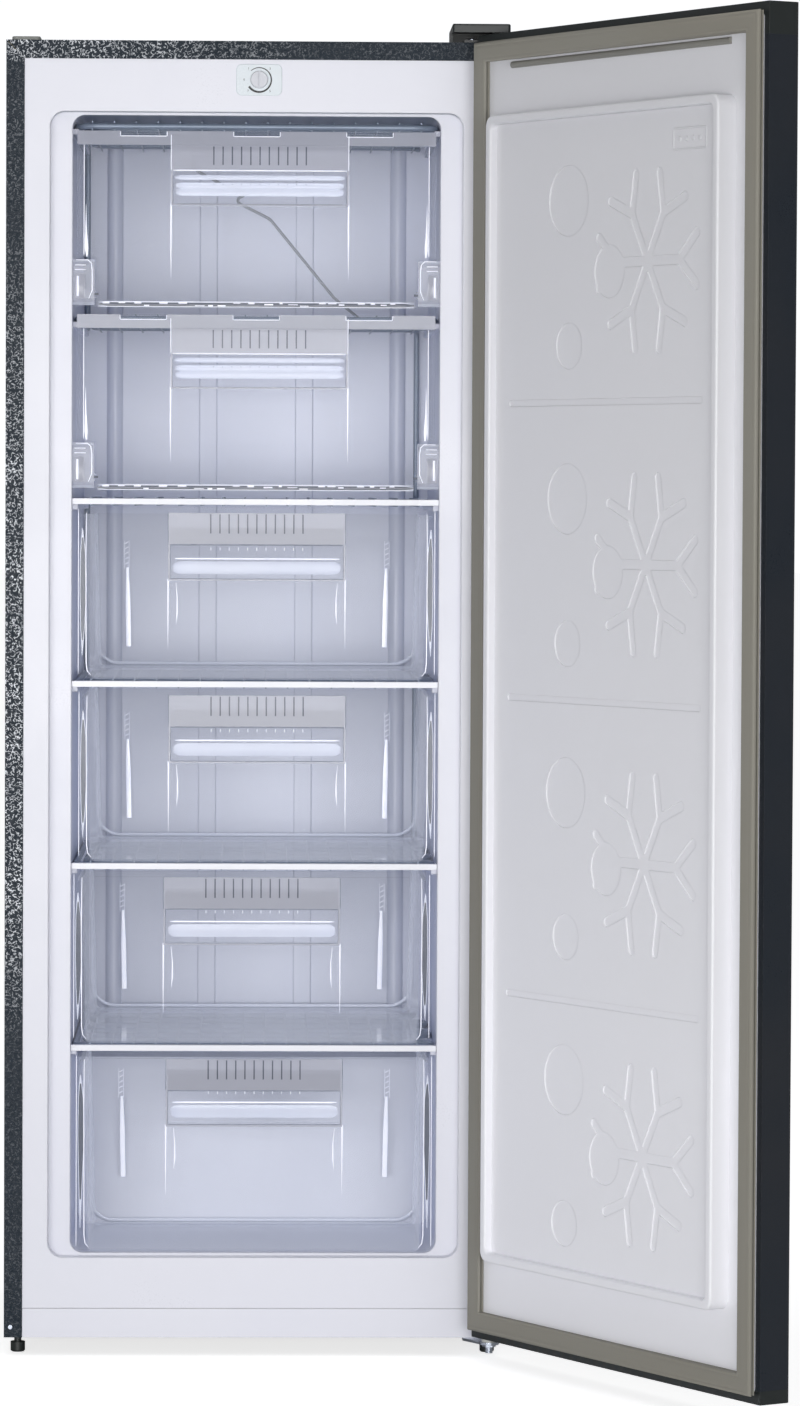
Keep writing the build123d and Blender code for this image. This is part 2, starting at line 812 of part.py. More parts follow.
# ---------------------------------------------------------------- hinges
with BuildPart() as top_hinge_bracket:
    with BuildSketch(Plane.XY.offset(cabinet_top)):
        with Locations((bracket_right, front_y + bracket_setback)):
            Rectangle(top_bracket_width, top_bracket_back, align=(Align.MAX, Align.MIN))
        with Locations(*top_screw_spots):
            Circle(screw_radius + running_fit, mode=Mode.SUBTRACT)
    extrude(amount=bracket_plate)
    with BuildSketch(Plane.XY.offset(cabinet_top)):
        with Locations((bracket_right, front_y + bracket_setback)):
            Rectangle(2 * bracket_nose, bracket_plate, align=(Align.MAX, Align.MIN))
    extrude(amount=top_arm_level - cabinet_top + bracket_plate)
    with BuildSketch(Plane.XY.offset(top_arm_level)):
        with Locations((hinge_x, hinge_y)):
            Circle(bracket_nose)
            Rectangle(
                2 * bracket_nose,
                hinge_reach + bracket_setback + bracket_plate,
                align=(Align.CENTER, Align.MIN),
            )
    extrude(amount=bracket_plate)
    with BuildSketch(Plane.XY.offset(top_arm_level)):
        with Locations((hinge_x, hinge_y)):
            Circle(pin_radius)
    extrude(amount=-(top_arm_level - door_top + pin_engagement - pin_tip_gap))
finish(top_hinge_bracket, "top_hinge_bracket")

with BuildPart() as top_hinge_screws:
    with BuildSketch(Plane.XY.offset(cabinet_top + bracket_plate)):
        with Locations(*top_screw_spots):
            Circle(screw_head_radius)
    extrude(amount=screw_head_height)
    fillet(top_hinge_screws.faces().group_by(Axis.Z)[-1].edges(), screw_head_height / 3)
    with BuildSketch(Plane.XY.offset(cabinet_top + bracket_plate)):
        with Locations(*top_screw_spots):
            Circle(screw_radius)
    extrude(amount=-(bracket_plate + shell_sheet))
finish(top_hinge_screws, "top_hinge_screws")

with BuildPart() as top_hinge_cover:
    cover_right = half_width + cover_side
    cover_skirt = door_top + cover_lift
    with BuildSketch(Plane.XY.offset(cabinet_top)):
        with Locations((cover_right, front_y - cover_overhang)):
            Rectangle(cover_width, cover_overhang + cover_back, align=(Align.MAX, Align.MIN))
    extrude(amount=cover_height)
    fillet(top_hinge_cover.edges().filter_by(Axis.Z), cover_radius)
    fillet(top_hinge_cover.faces().sort_by(Axis.Z)[-1].edges(), cover_wall)
    with BuildSketch(Plane.XY.offset(cabinet_top)):
        with Locations((cover_right - cover_wall, front_y - cover_overhang + cover_wall)):
            Rectangle(
                cover_width - 2 * cover_wall,
                cover_overhang + cover_back - 2 * cover_wall,
                align=(Align.MAX, Align.MIN),
            )
    extrude(amount=cover_height - cover_wall, mode=Mode.SUBTRACT)
    with BuildSketch(Plane.XY.offset(cabinet_top)):
        with Locations((cover_right, front_y)):
            Rectangle(cover_width, cover_overhang, align=(Align.MAX, Align.MAX))
        with Locations((cover_right, front_y)):
            Rectangle(cover_side, cover_back, align=(Align.MAX, Align.MIN))
    extrude(amount=cover_skirt - cabinet_top, mode=Mode.SUBTRACT)
finish(top_hinge_cover, "top_hinge_cover")

with BuildPart() as bottom_hinge_bracket:
    with BuildSketch(Plane.XY.offset(foot_height)):
        with Locations((bracket_right, front_y)):
            Rectangle(bottom_bracket_width, bottom_bracket_back, align=(Align.MAX, Align.MIN))
        with BuildLine():
            Polyline(
                (bracket_right, front_y),
                (bracket_right, hinge_y),
                (hinge_x - bracket_nose, hinge_y),
                (bracket_right - bottom_bracket_width, front_y),
                close=True,
            )
        make_face()
        with Locations((hinge_x, hinge_y)):
            Circle(bracket_nose)
        with Locations((foot_x, foot_y)):
            Circle(foot_stud_radius + running_fit, mode=Mode.SUBTRACT)
        with Locations(*bottom_screw_spots):
            Circle(screw_radius + running_fit, mode=Mode.SUBTRACT)
    extrude(amount=-bracket_plate)
    with BuildSketch(Plane.XY.offset(foot_height)):
        with Locations((hinge_x, hinge_y)):
            Circle(pin_radius)
    extrude(amount=door_bottom + pin_engagement - pin_tip_gap - foot_height)
finish(bottom_hinge_bracket, "bottom_hinge_bracket")

with BuildPart() as bottom_hinge_screws:
    with BuildSketch(Plane.XY.offset(foot_height - bracket_plate)):
        with Locations(*bottom_screw_spots):
            RegularPolygon(screw_head_radius, 6)
        with Locations((hinge_x, hinge_y)):
            RegularPolygon(pin_nut_radius, 6)
    extrude(amount=-screw_head_height)
    with BuildSketch(Plane.XY.offset(foot_height - bracket_plate - screw_head_height)):
        with Locations((hinge_x, hinge_y)):
            Circle(pin_radius)
    extrude(amount=-pin_nut_tail)
    with BuildSketch(Plane.XY.offset(foot_height - bracket_plate)):
        with Locations(*bottom_screw_spots):
            Circle(screw_radius)
    extrude(amount=bracket_plate + base_sheet)
finish(bottom_hinge_screws, "bottom_hinge_screws")

with BuildPart() as hinge_washer:
    with BuildSketch(Plane.XY.offset(foot_height)):
        with Locations((hinge_x, hinge_y)):
            Circle(bush_collar_radius)
            Circle(pin_radius + running_fit, mode=Mode.SUBTRACT)
    extrude(amount=door_bottom - bush_collar - seat_gap - foot_height)
finish(hinge_washer, "hinge_washer")


# ---------------------------------------------------------------- evaporator shelves
def evaporator_shelf(level):
    """A bent tube with wires lying on both of its faces."""
    first_run = front_y + tube_first
    runs = [first_run + tube_pitch * index for index in range(tube_runs)]
    left = -tube_reach
    right = tube_reach
    inner_left = left + 2 * tube_radius + lead_gap
    corners = [(left, shelf_back), (left, first_run), (right, first_run)]
    for index in range(1, tube_runs):
        near, far = (right, inner_left) if index % 2 else (inner_left, right)
        corners.append((near, runs[index]))
        corners.append((far, runs[index]))
    corners[-1] = (tube_exit_x, runs[-1])
    corners.append((tube_exit_x, shelf_back))
    with BuildPart() as shelf:
        with BuildLine(Plane.XY.offset(level)) as route:
            FilletPolyline(*corners, radius=tube_bend)
        with BuildSketch(Plane(origin=route.wire() @ 0, z_dir=route.wire() % 0)):
            Circle(tube_radius)
        sweep(path=route.wire())
        wire_offset = tube_radius + wire_gap + wire_radius
        for wire_level in (level - wire_offset, level + wire_offset):
            with BuildSketch(depth_plane(shelf_front)):
                with Locations((0, wire_level)):
                    with GridLocations(wire_spacing, 0, wire_count, 1):
                        Circle(wire_radius)
            extrude(amount=-(shelf_back - front_y - shelf_front))
    return shelf


for number, level in enumerate(all_shelf_levels, start=1):
    finish(evaporator_shelf(level), f"evaporator_shelf_{number}")


def riser(x, low, high):
    """The bent tube on the back wall that joins two shelves."""
    with BuildPart() as bend:
        with BuildLine() as route:
            FilletPolyline(
                (x, shelf_back, low),
                (x, shelf_back + riser_inset, low),
                (x, shelf_back + riser_inset, high),
                (x, shelf_back, high),
                radius=riser_inset - riser_tail,
            )
        with BuildSketch(Plane(origin=route.wire() @ 0, z_dir=route.wire() % 0)):
            Circle(tube_radius)
        sweep(path=route.wire())
    return bend.part


riser_parts = [
    riser(tube_exit_x if index % 2 else -tube_reach, all_shelf_levels[index + 1], level)
    for index, level in enumerate(all_shelf_levels[:-1])
]

with BuildPart() as evaporator_risers:
    add(riser_parts)
finish(evaporator_risers, "evaporator_risers")

for number, level in enumerate(shelf_levels, start=1):
    with BuildPart() as shelf_trim:
        with BuildSketch(Plane.YZ):
            with Locations((front_y + trim_front, level)):
                Rectangle(trim_depth, trim_height, align=(Align.MIN, Align.CENTER))
            with Locations((front_y + trim_front + trim_wall, level)):
                Rectangle(
                    trim_depth,
                    trim_height - 2 * trim_wall,
                    align=(Align.MIN, Align.CENTER),
                    mode=Mode.SUBTRACT,
                )
        extrude(amount=mouth_width / 2 - seat_gap, both=True)
    finish(shelf_trim, f"shelf_trim_{number}")


# ---------------------------------------------------------------- handle blocks
def handle_block(middle, top, pad_top, lip, bottom):
    """The raised pad with the finger pocket's box behind it; heights hang from the top edge."""
    with BuildPart() as block:
        with BuildSketch(depth_plane(front_depth - handle_proud)):
            with Locations((middle, top - pad_top)):
                Rectangle(
                    handle_width + 2 * handle_border,
                    bottom + handle_border - pad_top,
                    align=(Align.CENTER, Align.MAX),
                )
        extrude(amount=-(handle_proud + front_plate))
        with BuildSketch(depth_plane(front_depth)):
            with Locations((middle, top - lip + handle_rise + handle_wall)):
                Rectangle(
                    handle_width + 2 * handle_wall,
                    bottom - lip + handle_rise + 2 * handle_wall,
                    align=(Align.CENTER, Align.MAX),
                )
        extrude(amount=-(handle_reach + handle_wall))
    return block.part


def handle_hollow(middle, top, lip, bottom, groove_start, groove_height):
    """What the handle block leaves free: finger pocket, opening and the grip's grooves."""
    with BuildPart() as hollow:
        with BuildSketch(depth_plane(front_depth + front_plate)):
            with Locations((middle, top - lip + handle_rise)):
                Rectangle(
                    handle_width, bottom - lip + handle_rise, align=(Align.CENTER, Align.MAX)
                )
        extrude(amount=-(handle_reach - front_plate))
        with BuildSketch(depth_plane(front_depth - handle_proud)):
            with Locations((middle, top - lip)):
                Rectangle(handle_width, bottom - lip, align=(Align.CENTER, Align.MAX))
        extrude(amount=-(handle_proud + front_plate))
        with BuildSketch(depth_plane(front_depth - handle_proud)):
            with Locations((middle, top - groove_start - groove_height / 2)):
                with GridLocations(groove_pitch, 0, groove_count, 1):
                    Rectangle(groove_width, groove_height)
        extrude(amount=-groove_depth)
    return hollow.part


# ---------------------------------------------------------------- drawers
def tub(half_top, half_bottom, low, high, start, end, radius):
    """A tapered block for a drawer's body, rounded at its floor and back."""
    with BuildPart() as block:
        with BuildSketch(depth_plane(start)):
            with BuildLine():
                Polyline(
                    (-half_top, high),
                    (-half_bottom, low),
                    (half_bottom, low),
                    (half_top, high),
                    close=True,
                )
            make_face()
        extrude(amount=-(end - start))
        floor_edges = block.faces().sort_by(Axis.Z)[0].edges()
        back_edges = block.faces().sort_by(Axis.Y)[-1].edges()
        top_edges = block.faces().sort_by(Axis.Z)[-1].edges()
        front_edges = block.faces().sort_by(Axis.Y)[0].edges()
        rounded = [
            edge
            for edge in floor_edges + back_edges
            if edge not in top_edges and edge not in front_edges
        ]
        fillet(list(set(rounded)), radius)
    return block.part


def drawer(middle, level, rest, height, length):
    """A clear drawer that hangs its front from below one shelf and rests on the one under it."""
    top = level - drawer_drop
    body_low = rest + seat_gap
    body_high = top - drawer_side_drop
    half_top = drawer_body_width / 2
    half_bottom = half_top - drawer_taper
    body_end = front_depth + length
    body = tub(half_top, half_bottom, body_low, body_high, front_depth, body_end, drawer_corner)
    space = tub(
        half_top - drawer_wall,
        half_bottom - drawer_wall,
        body_low + drawer_wall,
        body_high + drawer_corner,
        front_depth + front_plate,
        body_end - drawer_wall,
        drawer_corner - drawer_wall,
    )
    block = handle_block(0, top, drawer_rim, handle_lip, handle_bottom)
    hollow = handle_hollow(
        0, top, handle_lip, handle_bottom, drawer_groove_start, drawer_groove_height
    )
    with BuildPart() as box:
        add(body)
        with BuildSketch(Plane.XY.offset(body_high)):
            with Locations((0, front_y + front_depth)):
                Rectangle(
                    2 * (half_top + drawer_side_rim), length, align=(Align.CENTER, Align.MIN)
                )
        extrude(amount=-drawer_wall)
        add(space, mode=Mode.SUBTRACT)
        with BuildSketch(depth_plane(front_depth)):
            with Locations((0, top)):
                RectangleRounded(
                    front_width, height, front_radius, align=(Align.CENTER, Align.MAX)
                )
        extrude(amount=-front_plate)
        with BuildSketch(depth_plane(front_depth)):
            with Locations((0, top)):
                Rectangle(
                    front_width - 2 * front_radius, drawer_rim, align=(Align.CENTER, Align.MAX)
                )
        extrude(amount=-drawer_rim_depth)
        add(block)
        add(hollow, mode=Mode.SUBTRACT)
        box.part = box.part.moved(Location((middle, 0, 0)))
    return box


drawer_rests = [level + shelf_half_height for level in shelf_levels[1:]] + [mouth_bottom]
drawer_heights = [drawer_front_height] * 3 + [bottom_drawer_front_height]
drawer_lengths = [drawer_length] * 3 + [bottom_drawer_length]
for number in range(4):
    finish(
        drawer(
            drawer_shift[number],
            shelf_levels[number],
            drawer_rests[number],
            drawer_heights[number],
            drawer_lengths[number],
        ),
        f"drawer_{number + 1}",
    )


# ---------------------------------------------------------------- flaps
def flap(bottom):
    """A clear tilt-down flap with pins at its bottom corners."""
    top = bottom + flap_height
    pivot = bottom + pivot_height
    pivot_y = front_y + front_depth + pivot_depth
    notch = front_width / 2 - notch_inner
    notch_top = bottom + block_lift + block_height + notch_gap
    bar_depth = flap_bar_proud + front_plate
    block = handle_block(
        flap_handle_shift, top, flap_bar, flap_handle_lip, handle_bottom
    )
    hollow = handle_hollow(
        flap_handle_shift,
        top,
        flap_handle_lip,
        handle_bottom,
        flap_groove_start,
        flap_groove_height,
    )
    with BuildPart() as panel:
        with BuildSketch(depth_plane(front_depth)):
            with Locations((0, bottom)):
                Rectangle(front_width, flap_height, align=(Align.CENTER, Align.MIN))
        extrude(amount=-front_plate)
        # bar along the top edge with three finger slots, and a narrow lip behind it
        with BuildSketch(depth_plane(front_depth - flap_bar_proud)):
            with Locations((0, top)):
                Rectangle(front_width, flap_bar, align=(Align.CENTER, Align.MAX))
        extrude(amount=-bar_depth)
        with BuildSketch(depth_plane(front_depth)):
            with Locations((0, top)):
                Rectangle(front_width, flap_lip, align=(Align.CENTER, Align.MAX))
        extrude(amount=-flap_lip_depth)
        with BuildSketch(depth_plane(front_depth - flap_bar_proud)):
            with Locations((0, top)):
                with GridLocations(slot_spacing, 0, 3, 1):
                    Rectangle(slot_width, slot_height, align=(Align.CENTER, Align.MAX))
        extrude(amount=-flap_bar_proud, mode=Mode.SUBTRACT)
        # foot bar
        with BuildSketch(depth_plane(front_depth)):
            with Locations((0, bottom)):
                Rectangle(front_width, flap_foot, align=(Align.CENTER, Align.MIN))
        extrude(amount=-flap_foot_depth)
        # side returns
        with BuildSketch(depth_plane(front_depth)):
            for side in (-1, 1):
                with Locations((side * (front_width - front_plate) / 2, notch_top)):
                    Rectangle(front_plate, top - notch_top, align=(Align.CENTER, Align.MIN))
        extrude(amount=-flap_return)
        # bottom corners are cut away around the hinge blocks
        with BuildSketch(depth_plane(front_depth)):
            for side in (-1, 1):
                with Locations((side * (notch_inner + notch / 2), bottom)):
                    Rectangle(notch, notch_top - bottom, align=(Align.CENTER, Align.MIN))
        extrude(amount=-flap_foot_depth, mode=Mode.SUBTRACT)
        with BuildSketch(depth_plane(front_depth)):
            for side in (-1, 1):
                with Locations((side * (notch_inner - front_plate / 2), bottom)):
                    Rectangle(front_plate, notch_top - bottom, align=(Align.CENTER, Align.MIN))
        extrude(amount=-(pivot_depth + pivot_radius + boss_wall))
        # tapered webs run down from the finger pocket
        for side in (-1, 1):
            web_x = flap_handle_shift + side * (handle_width + handle_wall) / 2
            with BuildSketch(Plane.YZ.offset(web_x)):
                with BuildLine():
                    Polyline(
                        (front_y + front_depth + front_plate / 2, top - handle_bottom),
                        (front_y + front_depth + handle_reach, top - handle_bottom),
                        (front_y + front_depth + front_plate, bottom + web_end),
                        (front_y + front_depth + front_plate / 2, bottom + web_end),
                        close=True,
                    )
                make_face()
            extrude(amount=handle_wall / 2, both=True)
        add(block)
        add(hollow, mode=Mode.SUBTRACT)
        # pins
        for side in (-1, 1):
            with BuildSketch(Plane.YZ.offset(side * (notch_inner - front_plate))):
                with Locations((pivot_y, pivot)):
                    Circle(pivot_radius)
            extrude(amount=side * (front_plate + pivot_length))
    return panel


flap_bottoms = [upper_shelf + flap_lift, first_shelf + flap_lift]
for number, bottom in enumerate(flap_bottoms, start=1):
    finish(flap(bottom), f"flap_{number}")

with BuildPart() as flap_hinge_blocks:
    block_inner = mouth_width / 2 - block_width
    for bottom in flap_bottoms:
        for side in (-1, 1):
            with BuildSketch(depth_plane(block_front)):
                with Locations((side * (mouth_width / 2 - block_width / 2), bottom + block_lift)):
                    Rectangle(block_width, block_height, align=(Align.CENTER, Align.MIN))
            extrude(amount=-block_depth)
    fillet(
        flap_hinge_blocks.edges().filter_by(Axis.X).group_by(Axis.Y)[0],
        block_radius,
    )
    for bottom in flap_bottoms:
        for side in (-1, 1):
            with BuildSketch(Plane.YZ.offset(side * block_inner)):
                with Locations((front_y + front_depth + pivot_depth, bottom + pivot_height)):
                    Circle(pivot_radius + running_fit)
            extrude(amount=side * pivot_length, mode=Mode.SUBTRACT)
finish(flap_hinge_blocks, "flap_hinge_blocks")

# ---------------------------------------------------------------- compressor and its bay
with BuildPart() as compressor_shelf:
    with BuildSketch(Plane.XZ.offset(-back_y)):
        with Locations((0, foot_height)):
            Rectangle(2 * inner_half, compressor_shelf_rise, align=(Align.CENTER, Align.MIN))
        with Locations((0, foot_height + compressor_shelf_sheet)):
            Rectangle(
                2 * (inner_half - compressor_shelf_sheet),
                compressor_shelf_rise,
                align=(Align.CENTER, Align.MIN),
                mode=Mode.SUBTRACT,
            )
    extrude(amount=compressor_shelf_depth)
    with BuildSketch(Plane.XY.offset(foot_height)):
        with Locations((compressor_x, compressor_y)):
            with GridLocations(mount_spacing_x, mount_spacing_y, 2, 2):
                Circle(mount_bolt_radius + running_fit)
    extrude(amount=compressor_shelf_sheet, mode=Mode.SUBTRACT)
finish(compressor_shelf, "compressor_shelf")

with BuildPart() as compressor_mounts:
    with BuildSketch(Plane.XY.offset(foot_height + compressor_shelf_sheet)):
        with Locations((compressor_x, compressor_y)):
            with GridLocations(mount_spacing_x, mount_spacing_y, 2, 2):
                Circle(mount_radius)
                Circle(mount_bolt_radius + running_fit, mode=Mode.SUBTRACT)
    extrude(amount=mount_height)
finish(compressor_mounts, "compressor_mounts")

with BuildPart() as compressor_bolts:
    with BuildSketch(Plane.XY.offset(foot_height)):
        with Locations((compressor_x, compressor_y)):
            with GridLocations(mount_spacing_x, mount_spacing_y, 2, 2):
                Circle(mount_bolt_radius)
    extrude(amount=plate_top - foot_height)
    with BuildSketch(Plane.XY.offset(plate_top)):
        with Locations((compressor_x, compressor_y)):
            with GridLocations(mount_spacing_x, mount_spacing_y, 2, 2):
                RegularPolygon(screw_head_radius, 6)
    extrude(amount=screw_head_height)
finish(compressor_bolts, "compressor_bolts")


def compressor_shell(grow):
    """The compressor's rounded pot, grown outwards."""
    with BuildPart() as pot:
        with BuildSketch(Plane.XY.offset(plate_top - grow)):
            with Locations((compressor_x, compressor_y)):
                SlotCenterToCenter(compressor_stretch, 2 * (compressor_radius + grow))
        extrude(amount=compressor_height + 2 * grow)
        fillet(pot.faces().sort_by(Axis.Z)[-1].edges(), compressor_dome)
        fillet(pot.faces().sort_by(Axis.Z)[0].edges(), compressor_dome / 2)
        with BuildSketch(Plane.XY.offset(plate_top + seam_level - grow)):
            with Locations((compressor_x, compressor_y)):
                SlotCenterToCenter(
                    compressor_stretch, 2 * (compressor_radius + seam_width + grow)
                )
        extrude(amount=seam_height + 2 * grow)
    return pot.part


compressor_pot = compressor_shell(0)
compressor_clearance = compressor_shell(seat_gap)

with BuildPart() as compressor:
    add(compressor_pot)
    with BuildSketch(Plane.XY.offset(plate_top - compressor_foot_plate)):
        with Locations((compressor_x, compressor_y)):
            RectangleRounded(compressor_foot_width, compressor_foot_depth, mount_radius)
            with GridLocations(mount_spacing_x, mount_spacing_y, 2, 2):
                Circle(mount_bolt_radius + running_fit, mode=Mode.SUBTRACT)
    extrude(amount=compressor_foot_plate)
finish(compressor, "compressor")

with BuildPart() as terminal_cover:
    terminal_x = compressor_x + compressor_stretch / 2 + compressor_radius
    with BuildSketch(Plane.XY.offset(plate_top + terminal_rise)):
        with Locations((terminal_x - terminal_overlap, compressor_y)):
            Rectangle(
                terminal_width + terminal_overlap, terminal_depth, align=(Align.MIN, Align.CENTER)
            )
    extrude(amount=terminal_height)
    add(compressor_clearance, mode=Mode.SUBTRACT)
    with BuildSketch(Plane.XZ.offset(-(compressor_y + terminal_depth / 2))):
        with Locations((terminal_x + terminal_width / 2, plate_top + gland_level)):
            Circle(cord_inlet_radius + gland_wall)
    extrude(amount=-gland_length)
    with BuildSketch(Plane.XZ.offset(-(compressor_y + terminal_depth / 2 + gland_length))):
        with Locations((terminal_x + terminal_width / 2, plate_top + gland_level)):
            Circle(cord_inlet_radius)
    extrude(amount=cord_inlet_length, mode=Mode.SUBTRACT)
finish(terminal_cover, "terminal_cover")

with BuildPart() as filter_drier:
    with BuildSketch(Plane.XY.offset(drier_bottom)):
        with Locations((drier_x, drier_y)):
            Circle(drier_radius)
    extrude(amount=drier_length)
    fillet(filter_drier.edges(), drier_radius / 2)
finish(filter_drier, "filter_drier")


def pipe(points, radius, bend):
    """A bent pipe through these points."""
    with BuildPart() as run:
        with BuildLine() as route:
            FilletPolyline(*points, radius=bend)
        with BuildSketch(Plane(origin=route.wire() @ 0, z_dir=route.wire() % 0)):
            Circle(radius)
        sweep(path=route.wire())
    return run.part


bay_ceiling = bay_top - base_sheet
pipe_parts = [
    pipe(
        [
            (compressor_x - pipe_offset, compressor_y + compressor_radius, plate_top + discharge_rise),
            (compressor_x - pipe_offset, condenser_y, plate_top + discharge_rise),
            (-condenser_half, condenser_y, plate_top + discharge_rise),
            (-condenser_half, condenser_y, condenser_start),
        ],
        pipe_radius,
        pipe_bend,
    ),
    pipe(
        [
            (condenser_return_x, condenser_y, condenser_start),
            (condenser_return_x, condenser_y, drier_top + 2 * pipe_bend),
            (drier_x, drier_y, drier_top + 2 * pipe_bend),
            (drier_x, drier_y, drier_top),
        ],
        pipe_radius,
        pipe_bend,
    ),
    pipe(
        [
            (drier_x, drier_y, drier_bottom),
            (drier_x, drier_y, drier_bottom - 2 * pipe_bend),
            (drier_x, suction_y, drier_bottom - 2 * pipe_bend),
            (drier_x, suction_y, bay_ceiling),
        ],
        pipe_radius,
        pipe_bend,
    ),
    pipe(
        [
            (compressor_x, compressor_y - compressor_radius, plate_top + discharge_rise),
            (compressor_x, suction_y, plate_top + discharge_rise),
            (compressor_x, suction_y, bay_ceiling),
        ],
        pipe_radius,
        pipe_bend,
    ),
]

with BuildPart() as refrigerant_pipes:
    add(pipe_parts)
finish(refrigerant_pipes, "refrigerant_pipes")

# ---------------------------------------------------------------- condenser
condenser_runs_z = [condenser_bottom + condenser_pitch * index for index in range(condenser_runs)]
condenser_corners = [(-condenser_half, condenser_start)]
for index, height in enumerate(condenser_runs_z):
    start_side = -1 if index % 2 == 0 else 1
    condenser_corners.append((start_side * condenser_half, height))
    condenser_corners.append((-start_side * condenser_half, height))
condenser_corners[-1] = (condenser_return_x, condenser_runs_z[-1])
condenser_corners.append((condenser_return_x, condenser_start))
condenser_coil_part = pipe(
    [(x, condenser_y, z) for x, z in condenser_corners], condenser_tube_radius, condenser_bend
)

with BuildPart() as condenser_coil:
    add(condenser_coil_part)
finish(condenser_coil, "condenser_coil")

with BuildPart() as condenser_wires:
    condenser_wire_offset = condenser_tube_radius + wire_gap + condenser_wire_radius
    with BuildSketch(Plane.XY.offset(condenser_bottom - condenser_wire_overlap)):
        for wire_y in (condenser_y - condenser_wire_offset, condenser_y + condenser_wire_offset):
            with Locations((0, wire_y)):
                with GridLocations(condenser_wire_spacing, 0, condenser_wire_count, 1):
                    Circle(condenser_wire_radius)
    extrude(amount=condenser_runs_z[-1] - condenser_bottom + 2 * condenser_wire_overlap)
finish(condenser_wires, "condenser_wires")

with BuildPart() as condenser_brackets:
    bracket_levels = (condenser_runs_z[1], condenser_runs_z[-2])
    bracket_x = condenser_half - condenser_bracket_inset
    for height in bracket_levels:
        with BuildSketch(Plane.XZ.offset(-back_y)):
            with Locations((-bracket_x, height), (bracket_x, height)):
                Rectangle(condenser_bracket_width, condenser_bracket_height)
        extrude(amount=-(condenser_standoff + 2 * condenser_tube_radius))
        with BuildSketch(Plane.YZ.offset(-condenser_half)):
            with Locations((condenser_y, height)):
                Circle(condenser_tube_radius + running_fit)
        extrude(amount=2 * condenser_half, mode=Mode.SUBTRACT)
finish(condenser_brackets, "condenser_brackets")


# ---------------------------------------------------------------- door
def door_outline(level, inset, height):
    """The door's plan with its two rounded front edges, pulled in by a wall."""
    with BuildPart() as block:
        with BuildSketch(door_level(level)):
            with Locations((0, front_y - skin_outer + inset)):
                Rectangle(
                    door_width - 2 * inset,
                    skin_outer - skin_inner - 2 * inset,
                    align=(Align.CENTER, Align.MIN),
                )
        extrude(amount=height)
        front_edges = block.faces().sort_by(door_outward)[-1].edges().filter_by(Axis.Z)
        fillet(front_edges, skin_radius - inset)
    return block.part


skin_solid = door_outline(skin_bottom, 0, skin_top - skin_bottom)
skin_space = door_outline(skin_bottom, skin_sheet, skin_top - skin_bottom)

with BuildPart() as door_skin:
    add(skin_solid)
    add(skin_space, mode=Mode.SUBTRACT)
    with BuildSketch(door_face(skin_inner)):
        with Locations((0, skin_bottom)):
            Rectangle(fold_opening, skin_top - skin_bottom, align=(Align.CENTER, Align.MIN))
    extrude(amount=skin_sheet, mode=Mode.SUBTRACT)
finish(door_skin, "door_skin")

cap_blocks = {
    "door_bottom_cap": (door_bottom, bottom_cap_height, door_bottom + cap_wall, 1),
    "door_top_cap": (skin_top, top_cap_height, skin_top, -1),
}
for name, (cap_level, cap_height, pocket_level, end) in cap_blocks.items():
    cap_solid = door_outline(cap_level, 0, cap_height)
    cap_pocket = door_outline(pocket_level, cap_wall, cap_height - cap_wall)
    outer_level = cap_level if end > 0 else cap_level + cap_height
    with BuildPart() as hinge_end:
        with BuildSketch(door_level(cap_level)):
            with Locations((door_width / 2, front_y - skin_inner)):
                Rectangle(hinge_block_width, skin_outer - skin_inner, align=(Align.MAX, Align.MAX))
        extrude(amount=cap_height)
        add(cap_solid, mode=Mode.INTERSECT)
    with BuildPart() as door_cap:
        add(cap_solid)
        add(cap_pocket, mode=Mode.SUBTRACT)
        add(hinge_end.part)
        with BuildSketch(door_level(outer_level)):
            with Locations((hinge_x, hinge_y)):
                Circle(bush_radius)
        extrude(amount=end * pin_engagement, mode=Mode.SUBTRACT)
    finish(door_cap, name)

with BuildPart() as door_hinge_bushes:
    for level, end in ((door_bottom, 1), (door_top, -1)):
        with BuildSketch(door_level(level)):
            with Locations((hinge_x, hinge_y)):
                Circle(bush_radius)
        extrude(amount=end * pin_engagement)
        with BuildSketch(door_level(level)):
            with Locations((hinge_x, hinge_y)):
                Circle(bush_collar_radius)
        extrude(amount=-end * bush_collar)
        with BuildSketch(door_level(level - end * bush_collar)):
            with Locations((hinge_x, hinge_y)):
                Circle(pin_radius + running_fit)
        extrude(amount=end * (pin_engagement + bush_collar), mode=Mode.SUBTRACT)
finish(door_hinge_bushes, "door_hinge_bushes")


def flake():
    """A six-armed flake whose arms fork, drawn with rounded strokes."""
    with BuildSketch() as drawing:
        tip = Vector(flake_reach * sin(radians(flake_angle)), flake_reach * cos(radians(flake_angle)))
        fork = Vector(0, flake_fork)
        prong = tip - fork
        lean = degrees(atan2(prong.Y, prong.X))
        with PolarLocations(0, 6, start_angle=0):
            with Locations((0, flake_fork / 2)):
                SlotCenterToCenter(flake_fork, flake_stroke, rotation=90)
            with Locations((tip.X / 2, (tip.Y + fork.Y) / 2)):
                SlotCenterToCenter(prong.length, flake_stroke, rotation=lean)
            with Locations((-tip.X / 2, (tip.Y + fork.Y) / 2)):
                SlotCenterToCenter(prong.length, flake_stroke, rotation=180 - lean)
    return drawing.sketch


flake_shape = flake()

